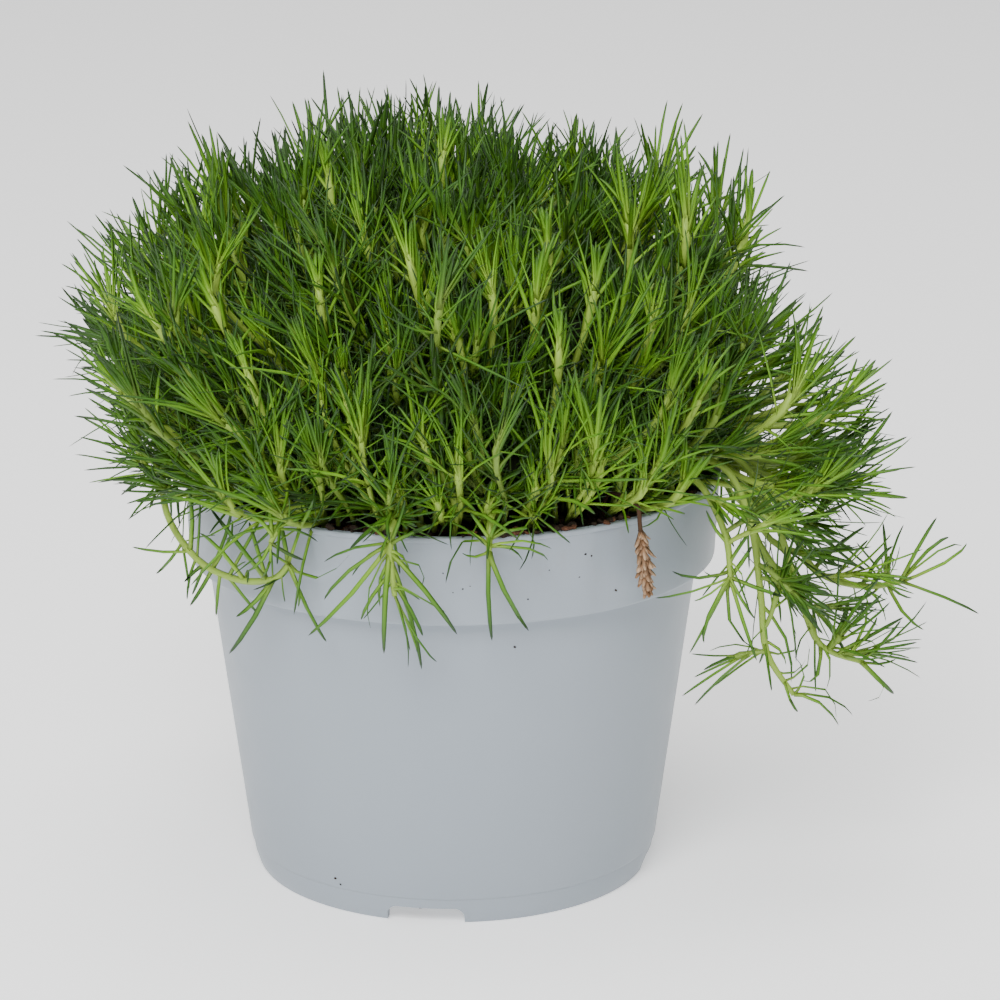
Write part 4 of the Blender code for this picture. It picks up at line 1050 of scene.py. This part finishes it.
def make_pot():
    profile = pot_profile()
    bm = bmesh.new()
    rings = []
    for radius, z in profile:
        if radius == 0.0:
            rings.append([bm.verts.new((AXIS[0] * MM, AXIS[1] * MM, z * MM))])
            continue
        ring = []
        for k in range(POT_SEGMENTS):
            turn = math.tau * k / POT_SEGMENTS
            r = radius
            if radius > COLLAR_LOW - WALL - 1.0 and COLLAR_Z < z < POT_HEIGHT - LIP_HEIGHT:
                r = radius - dent(math.degrees(turn), z)
            ring.append(bm.verts.new(((AXIS[0] + r * math.cos(turn)) * MM, (AXIS[1] + r * math.sin(turn)) * MM, z * MM)))
        rings.append(ring)
    for low, high in zip(rings, rings[1:]):
        for k in range(POT_SEGMENTS):
            n = (k + 1) % POT_SEGMENTS
            if len(low) == 1:
                bm.faces.new((low[0], high[k], high[n]))
            elif len(high) == 1:
                bm.faces.new((low[k], high[0], low[n]))
            else:
                bm.faces.new((low[k], high[k], high[n], low[n]))
    bmesh.ops.recalc_face_normals(bm, faces=bm.faces)
    mesh = bpy.data.meshes.new("nursery_pot")
    bm.to_mesh(mesh)
    bm.free()
    draft = bpy.data.objects.new("pot_draft", mesh)
    bpy.context.scene.collection.objects.link(draft)
    cutters = bpy.data.collections.new("cutters")
    bpy.context.scene.collection.children.link(cutters)
    for index in range(4):
        turn = math.radians(SLOT_AZIMUTH) + math.tau * index / 4
        bm = bmesh.new()
        bmesh.ops.create_cube(bm, size=1.0, matrix=Matrix.Diagonal((12 * MM, SLOT_WIDTH * MM, 2 * SLOT_HEIGHT * MM, 1)))
        edges = [e for e in bm.edges if abs(e.verts[0].co.x - e.verts[1].co.x) > 5 * MM]
        bmesh.ops.bevel(bm, geom=edges, offset=SLOT_CORNER * MM, segments=6, profile=0.5, affect="EDGES")
        cut = bpy.data.meshes.new("slot")
        bm.to_mesh(cut)
        bm.free()
        cutter = bpy.data.objects.new("slot", cut)
        cutter.location = ((AXIS[0] + FOOT * math.cos(turn)) * MM, (AXIS[1] + FOOT * math.sin(turn)) * MM, 0)
        cutter.rotation_euler = (0, 0, turn)
        cutters.objects.link(cutter)
    for index in range(6):
        turn = math.tau * (index + 0.5) / 6
        bm = bmesh.new()
        bmesh.ops.create_cone(bm, cap_ends=True, segments=32, radius1=DRAIN_RADIUS * MM, radius2=DRAIN_RADIUS * MM, depth=6 * MM)
        cut = bpy.data.meshes.new("drain")
        bm.to_mesh(cut)
        bm.free()
        cutter = bpy.data.objects.new("drain", cut)
        cutter.location = ((AXIS[0] + DRAIN_RING * math.cos(turn)) * MM, (AXIS[1] + DRAIN_RING * math.sin(turn)) * MM,
                           (FLOOR_TOP + FLOOR_UNDER) / 2 * MM)
        cutters.objects.link(cutter)
    cutting = draft.modifiers.new("cut", "BOOLEAN")
    cutting.operation = "DIFFERENCE"
    cutting.solver = "EXACT"
    cutting.operand_type = "COLLECTION"
    cutting.collection = cutters
    bpy.context.view_layer.update()
    graph = bpy.context.evaluated_depsgraph_get()
    final = bpy.data.meshes.new_from_object(draft.evaluated_get(graph), depsgraph=graph)
    for cutter in list(cutters.objects):
        bpy.data.objects.remove(cutter, do_unlink=True)
    bpy.data.collections.remove(cutters)
    bpy.data.objects.remove(draft, do_unlink=True)
    final.materials.clear()
    final.shade_smooth()
    final.set_sharp_from_angle(angle=math.radians(38))
    return add_piece("nursery_pot", final, [pot_material()], ["pot"])


# Compost

def soil_height(x, y):
    radius = math.hypot(x, y)
    share = min(radius / (RIM - LIP_WIDTH - 0.3), 1.0)
    mound = 91.0 - 2.2 * share**2
    fine = 0.7 * noise.noise(Vector((x, y, 0)) / 7.0) + 0.45 * noise.noise(Vector((x, y, 3)) / 2.6)
    fine += 0.3 * noise.noise(Vector((x, y, 8)) / 1.1)
    return mound + fine * (1.0 - share**14)


def make_soil(material):
    wall = WALL + 0.3
    segments = 180
    rows = [0.0] + list(np.linspace(6, 30, 7)) + list(np.linspace(32, RIM - LIP_WIDTH - 0.3, 30))
    side = [
        (COLLAR_LOW - wall, 80.0), (COLLAR_LOW - wall, COLLAR_Z + wall), (BODY_TOP - wall, COLLAR_Z + wall),
        (CREASE_R - wall - 1.0, FLOOR_TOP + 0.3), (0.0, FLOOR_TOP + 0.3),
    ]
    bm = bmesh.new()
    rings = []
    for r, z in [(row, None) for row in rows] + side:
        ring = []
        for k in range(1 if r == 0.0 else segments):
            turn = math.tau * k / segments
            x, y = r * math.cos(turn), r * math.sin(turn)
            height = soil_height(x, y) if z is None else z
            ring.append(bm.verts.new(((AXIS[0] + x) * MM, (AXIS[1] + y) * MM, height * MM)))
        rings.append(ring)
    for low, high in zip(rings, rings[1:]):
        for k in range(segments):
            n = (k + 1) % segments
            if len(low) == 1:
                bm.faces.new((low[0], high[k], high[n]))
            elif len(high) == 1:
                bm.faces.new((low[k], high[0], low[n]))
            else:
                bm.faces.new((low[k], high[k], high[n], low[n]))
    bmesh.ops.recalc_face_normals(bm, faces=bm.faces)
    mesh = bpy.data.meshes.new("compost")
    bm.to_mesh(mesh)
    bm.free()
    mesh.shade_smooth()
    return add_piece("compost", mesh, [material], ["soil"])


def lump(rng, centre, size, stretch=1.0, flat=1.0, subdivisions=1):
    """Points and triangles of one small rough stone-like lump."""
    bm = bmesh.new()
    bmesh.ops.create_icosphere(bm, subdivisions=subdivisions, radius=1.0)
    points = np.array([v.co[:] for v in bm.verts])
    triangles = np.array([[v.index for v in f.verts] for f in bm.faces])
    bm.free()
    points = points * (1 + rng.uniform(-0.3, 0.25, (len(points), 1))) * np.array([stretch, 1.0, flat]) * size
    turn = Matrix.Rotation(rng.uniform(0, math.tau), 3, "Z") @ Matrix.Rotation(rng.normal(0, 0.35), 3, "X") @ Matrix.Rotation(rng.normal(0, 0.35), 3, "Y")
    return points @ np.array(turn).T + centre, triangles


def gather(name, lumps, material, smooth=True):
    points, triangles, start = [], [], 0
    for spots, faces in lumps:
        points.append(spots)
        triangles.append(faces + start)
        start += len(spots)
    mesh = to_mesh(name, np.concatenate(points), np.concatenate(triangles))
    if not smooth:
        mesh.shade_flat()
    return add_piece(name, mesh, [material])


def make_crumbs(rng, dark, bark):
    crumbs, chips = [], []
    for index in range(620):
        turn = rng.uniform(0, math.tau)
        r = math.sqrt(rng.uniform(30**2, 57**2))
        x, y = r * math.cos(turn), r * math.sin(turn)
        size = rng.uniform(0.4, 1.5)
        r = min(r, RIM - LIP_WIDTH - 0.6 - size * 1.4)
        x, y = r * math.cos(turn), r * math.sin(turn)
        crumbs.append(lump(rng, np.array([x, y, soil_height(x, y) + size * 0.25]), size, rng.uniform(1, 1.5), 0.8))
    for index in range(150):
        turn = rng.uniform(0, math.tau)
        r = rng.uniform(36, 53)
        x, y = r * math.cos(turn), r * math.sin(turn)
        size = rng.uniform(0.5, 1.2)
        chips.append(lump(rng, np.array([x, y, soil_height(x, y) + 0.6]), size, rng.uniform(1.8, 3.2), 0.5))
    # Crumbs on the lip at the front right and the front middle
    for low, high, count in ((-76, -50, 46), (-88, -76, 18), (-118, -96, 16), (-45, -20, 20), (20, 160, 30)):
        for index in range(count):
            turn = math.radians(rng.uniform(low, high))
            r = rng.uniform(RIM - 3.2, RIM - 0.5)
            size = rng.uniform(0.35, 0.95)
            z = POT_HEIGHT + size * 0.5 if r > RIM - LIP_WIDTH - size else 91.2
            place = np.array([r * math.cos(turn), r * math.sin(turn), z])
            (chips if rng.random() < 0.3 else crumbs).append(lump(rng, place, size, rng.uniform(1, 1.7), 0.75))
    gather("compost_crumbs", crumbs, dark, False)
    gather("bark_bits", chips, bark, False)


# Specks of compost stuck on the pot: azimuth, height and size in degrees and millimetres
SPECKS = [
    (-62.0, 86.5, 0.5), (-60.5, 85.9, 0.4), (-63.2, 81.6, 0.32), (-54.0, 77.0, 0.5), (-74.5, 78.0, 0.3),
    (-76.0, 66.0, 0.5), (-99.5, 70.5, 0.25), (-124.0, 8.2, 0.5), (-122.5, 7.0, 0.4), (-88.0, 81.0, 0.28),
    (-90.0, 80.2, 0.22), (-86.5, 81.6, 0.22), (-92.0, 84.5, 0.3), (-70.0, 84.0, 0.25), (-48.0, 83.0, 0.3),
    (150.0, 70.0, 0.4), (95.0, 80.0, 0.4), (60.0, 40.0, 0.35), (20.0, 60.0, 0.3),
]


def outside_radius(z):
    if z > COLLAR_Z:
        share = (POT_HEIGHT - LIP_HEIGHT - z) / (POT_HEIGHT - LIP_HEIGHT - COLLAR_Z)
        return RIM - LIP_PROUD + (COLLAR_LOW - RIM + LIP_PROUD) * share
    return CREASE_R + (BODY_TOP - CREASE_R) * (z - CREASE_Z) / (COLLAR_Z - CREASE_Z)


def make_specks(rng, dark):
    lumps = []
    for azimuth, z, size in SPECKS:
        turn = math.radians(azimuth)
        r = outside_radius(z) + 0.02
        lumps.append(lump(rng, np.array([r * math.cos(turn), r * math.sin(turn), z]), 0.62 * size, 1.2, 0.8))
    # Roots and compost that show in the front slot
    for index in range(26):
        turn = math.radians(SLOT_AZIMUTH + rng.uniform(-9, 2))
        r = rng.uniform(FOOT - FOOT_WIDTH - 1.5, FOOT - FOOT_WIDTH + 0.6)
        size = rng.uniform(0.3, 0.8)
        lumps.append(lump(rng, np.array([r * math.cos(turn), r * math.sin(turn), rng.uniform(2.6, 4.0)]), size, 1.8, 0.7))
    gather("compost_specks", lumps, dark, False)


# Dried spray

DRIED_STEM = [(32, -38, 86), (33, -39, 95.5), (38.5, -49, 96.5), (39.5, -51, 91.5), (41, -50.8, 78.5)]


def make_spray(rng, material):
    foliage = Foliage()
    route = smooth_route(np.array(DRIED_STEM, float), 5)
    foliage.add_stem(route, np.full(len(route), 0.5), 0.25)
    top, bottom = route[-6], route[-1]
    out = unit(np.array([top[0], top[1], 0.0]))
    across = np.cross([0, 0, 1], out)
    count = 120
    share = (np.arange(count) + 0.5) / count
    start = top + (bottom - top) * share[:, None]
    turn = np.arange(count) * GOLDEN
    radial = across * np.cos(turn)[:, None] + out * np.abs(np.sin(turn))[:, None]
    way = unit(radial * rng.uniform(0.5, 1.0, (count, 1)) + np.array([0, 0, -1.0]) * rng.uniform(0.6, 1.2, (count, 1)))
    side = unit(np.cross(way, radial + 0.3 * rng.normal(size=(count, 3))))
    bend = radial * rng.uniform(-0.25, 0.1, (count, 1))
    length = rng.uniform(2.0, 3.8, count) * np.interp(share, [0, 0.25, 0.8, 1.0], [0.8, 1.1, 1.0, 0.7])
    tone = np.where(rng.random(count) < 0.25, rng.uniform(0.75, 0.97, count), rng.uniform(0.05, 0.6, count))
    foliage.add_leaves(start, way, side, bend, length, rng.uniform(0.4, 0.62, count), tone)
    return foliage.build("dried_flower_spray", material, "dried", ["dried_spray"])


# Core

def make_core(material):
    """A dark body deep inside, whose near-black colour paints the shade among the shoots; the leafy shoots hide it."""
    bm = bmesh.new()
    bmesh.ops.create_icosphere(bm, subdivisions=5, radius=1.0)
    for vertex in bm.verts:
        way = vertex.co.copy()
        swell = 1.0 + 0.22 * noise.noise(way * 5.0) + 0.16 * noise.noise(way * 14.0)
        rise = 36.0 if way.z > 0 else 8.5
        vertex.co = (
            (AXIS[0] + way.x * 43.0 * swell) * MM, (AXIS[1] + way.y * 43.0 * swell) * MM,
            (101.0 + way.z * rise * (swell if way.z > 0 else 1.0)) * MM,
        )
    mesh = bpy.data.meshes.new("shade_core")
    bm.to_mesh(mesh)
    bm.free()
    mesh.shade_smooth()
    return add_piece("shade_core", mesh, [material], ["cushion"])


# Stage

def stage():
    floor_mesh = bpy.data.meshes.new("floor")
    size = 4.0
    floor_mesh.from_pydata([(-size, -size, 0), (size, -size, 0), (size, size, 0), (-size, size, 0)], [], [(0, 1, 2, 3)])
    white = plain_material("floor_white", (0.9, 0.9, 0.9), 0.9)
    shader = white.node_tree.nodes["Principled BSDF"]
    shader.inputs["Emission Color"].default_value = (1.0, 1.0, 1.0, 1.0)
    shader.inputs["Emission Strength"].default_value = 0.6
    floor_mesh.materials.append(white)
    floor = bpy.data.objects.new("floor", floor_mesh)
    bpy.context.scene.collection.objects.link(floor)
    world = bpy.data.worlds.new("studio")
    world.use_nodes = True
    background = world.node_tree.nodes["Background"]
    background.inputs["Color"].default_value = (1.0, 1.0, 1.0, 1.0)
    background.inputs["Strength"].default_value = 0.46
    bpy.context.scene.world = world
    target = Vector((AXIS[0] * MM, AXIS[1] * MM, 0.09))
    for name, place, size, power in (
        ("key", (-0.28, -1.1, 1.0), 0.7, 27.0), ("fill", (-0.9, -0.5, 0.4), 1.0, 1.0),
        ("top", (-0.1, 0.1, 1.5), 0.9, 14.0),
    ):
        lamp = bpy.data.lights.new(name, "AREA")
        lamp.energy = power
        lamp.size = size
        obj = bpy.data.objects.new(name, lamp)
        obj.location = Vector(place) + target
        obj.rotation_euler = (target - obj.location).to_track_quat("-Z", "Y").to_euler()
        bpy.context.scene.collection.objects.link(obj)
    camera = bpy.data.cameras.new("camera")
    camera.lens = CAMERA_LENS
    camera.sensor_width = SENSOR
    camera.clip_start = 0.05
    camera.clip_end = 50.0
    viewer = bpy.data.objects.new("camera", camera)
    viewer.location = (CAMERA_PLACE + AXIS) * MM
    viewer.rotation_euler = (math.pi / 2 - CAMERA_PITCH, 0.0, -CAMERA_YAW)
    bpy.context.scene.collection.objects.link(viewer)
    bpy.context.scene.camera = viewer


def main():
    stage()
    leaves = leaf_material()
    dark = compost_material("compost", [(0.3, (0.008, 0.005, 0.004)), (0.55, (0.030, 0.018, 0.011)), (0.8, (0.075, 0.045, 0.026))], 700.0)
    bark = compost_material("bark", [(0.3, (0.03, 0.012, 0.007)), (0.6, (0.12, 0.05, 0.025)), (0.85, (0.24, 0.13, 0.07))], 500.0)
    # Near-black green for the core: painted shade deep inside the cushion.
    gloom = compost_material("gloom", [(0.3, (0.010, 0.014, 0.004)), (0.7, (0.022, 0.028, 0.008))], 300.0)
    make_pot()
    make_soil(dark)
    rng = np.random.default_rng(5)
    make_crumbs(rng, dark, bark)
    make_specks(rng, dark)
    make_spray(rng, dried_material())
    make_core(gloom)
    outer = {name: Foliage() for name in ("right", "back", "left", "front")}
    inner = {name: Foliage() for name in ("right", "back", "left", "front")}
    rng = np.random.default_rng(11)
    grow_layer(outer, rng, 600, 1.0, -3.0, 0.50, 0.16, young=0.30, darkest=0.34, length=17.5, gaps=0.05, open=0.6, radius=0.41)
    rng = np.random.default_rng(12)
    # The deeper layers get darker tones: painted shade inside the cushion.
    grow_layer(inner, rng, 400, 0.82, -2.0, 0.36, 0.12, young=0.06, length=16.5, open=0.8, radius=0.36)
    grow_layer(inner, rng, 230, 0.62, 0.0, 0.20, 0.08, length=15.0, pairs=7, open=0.8)
    rng = np.random.default_rng(13)
    grow_rim(outer, rng, 170)
    rng = np.random.default_rng(14)
    grow_bunch(outer["right"], rng)
    rng = np.random.default_rng(17)
    grow_bold(outer, rng)
    rng = np.random.default_rng(16)
    for name in outer:
        add_threads(outer[name], rng, 620)
        add_threads(inner[name], rng, 220)
        outer[name].build(f"shoots_{name}", leaves, "plant", ["cushion"])
        inner[name].build(f"inner_shoots_{name}", leaves, "plant", ["cushion"])
    rng = np.random.default_rng(15)
    for name, plan in TRAILERS.items():
        grow_trailer(name, plan, rng, leaves)


main()
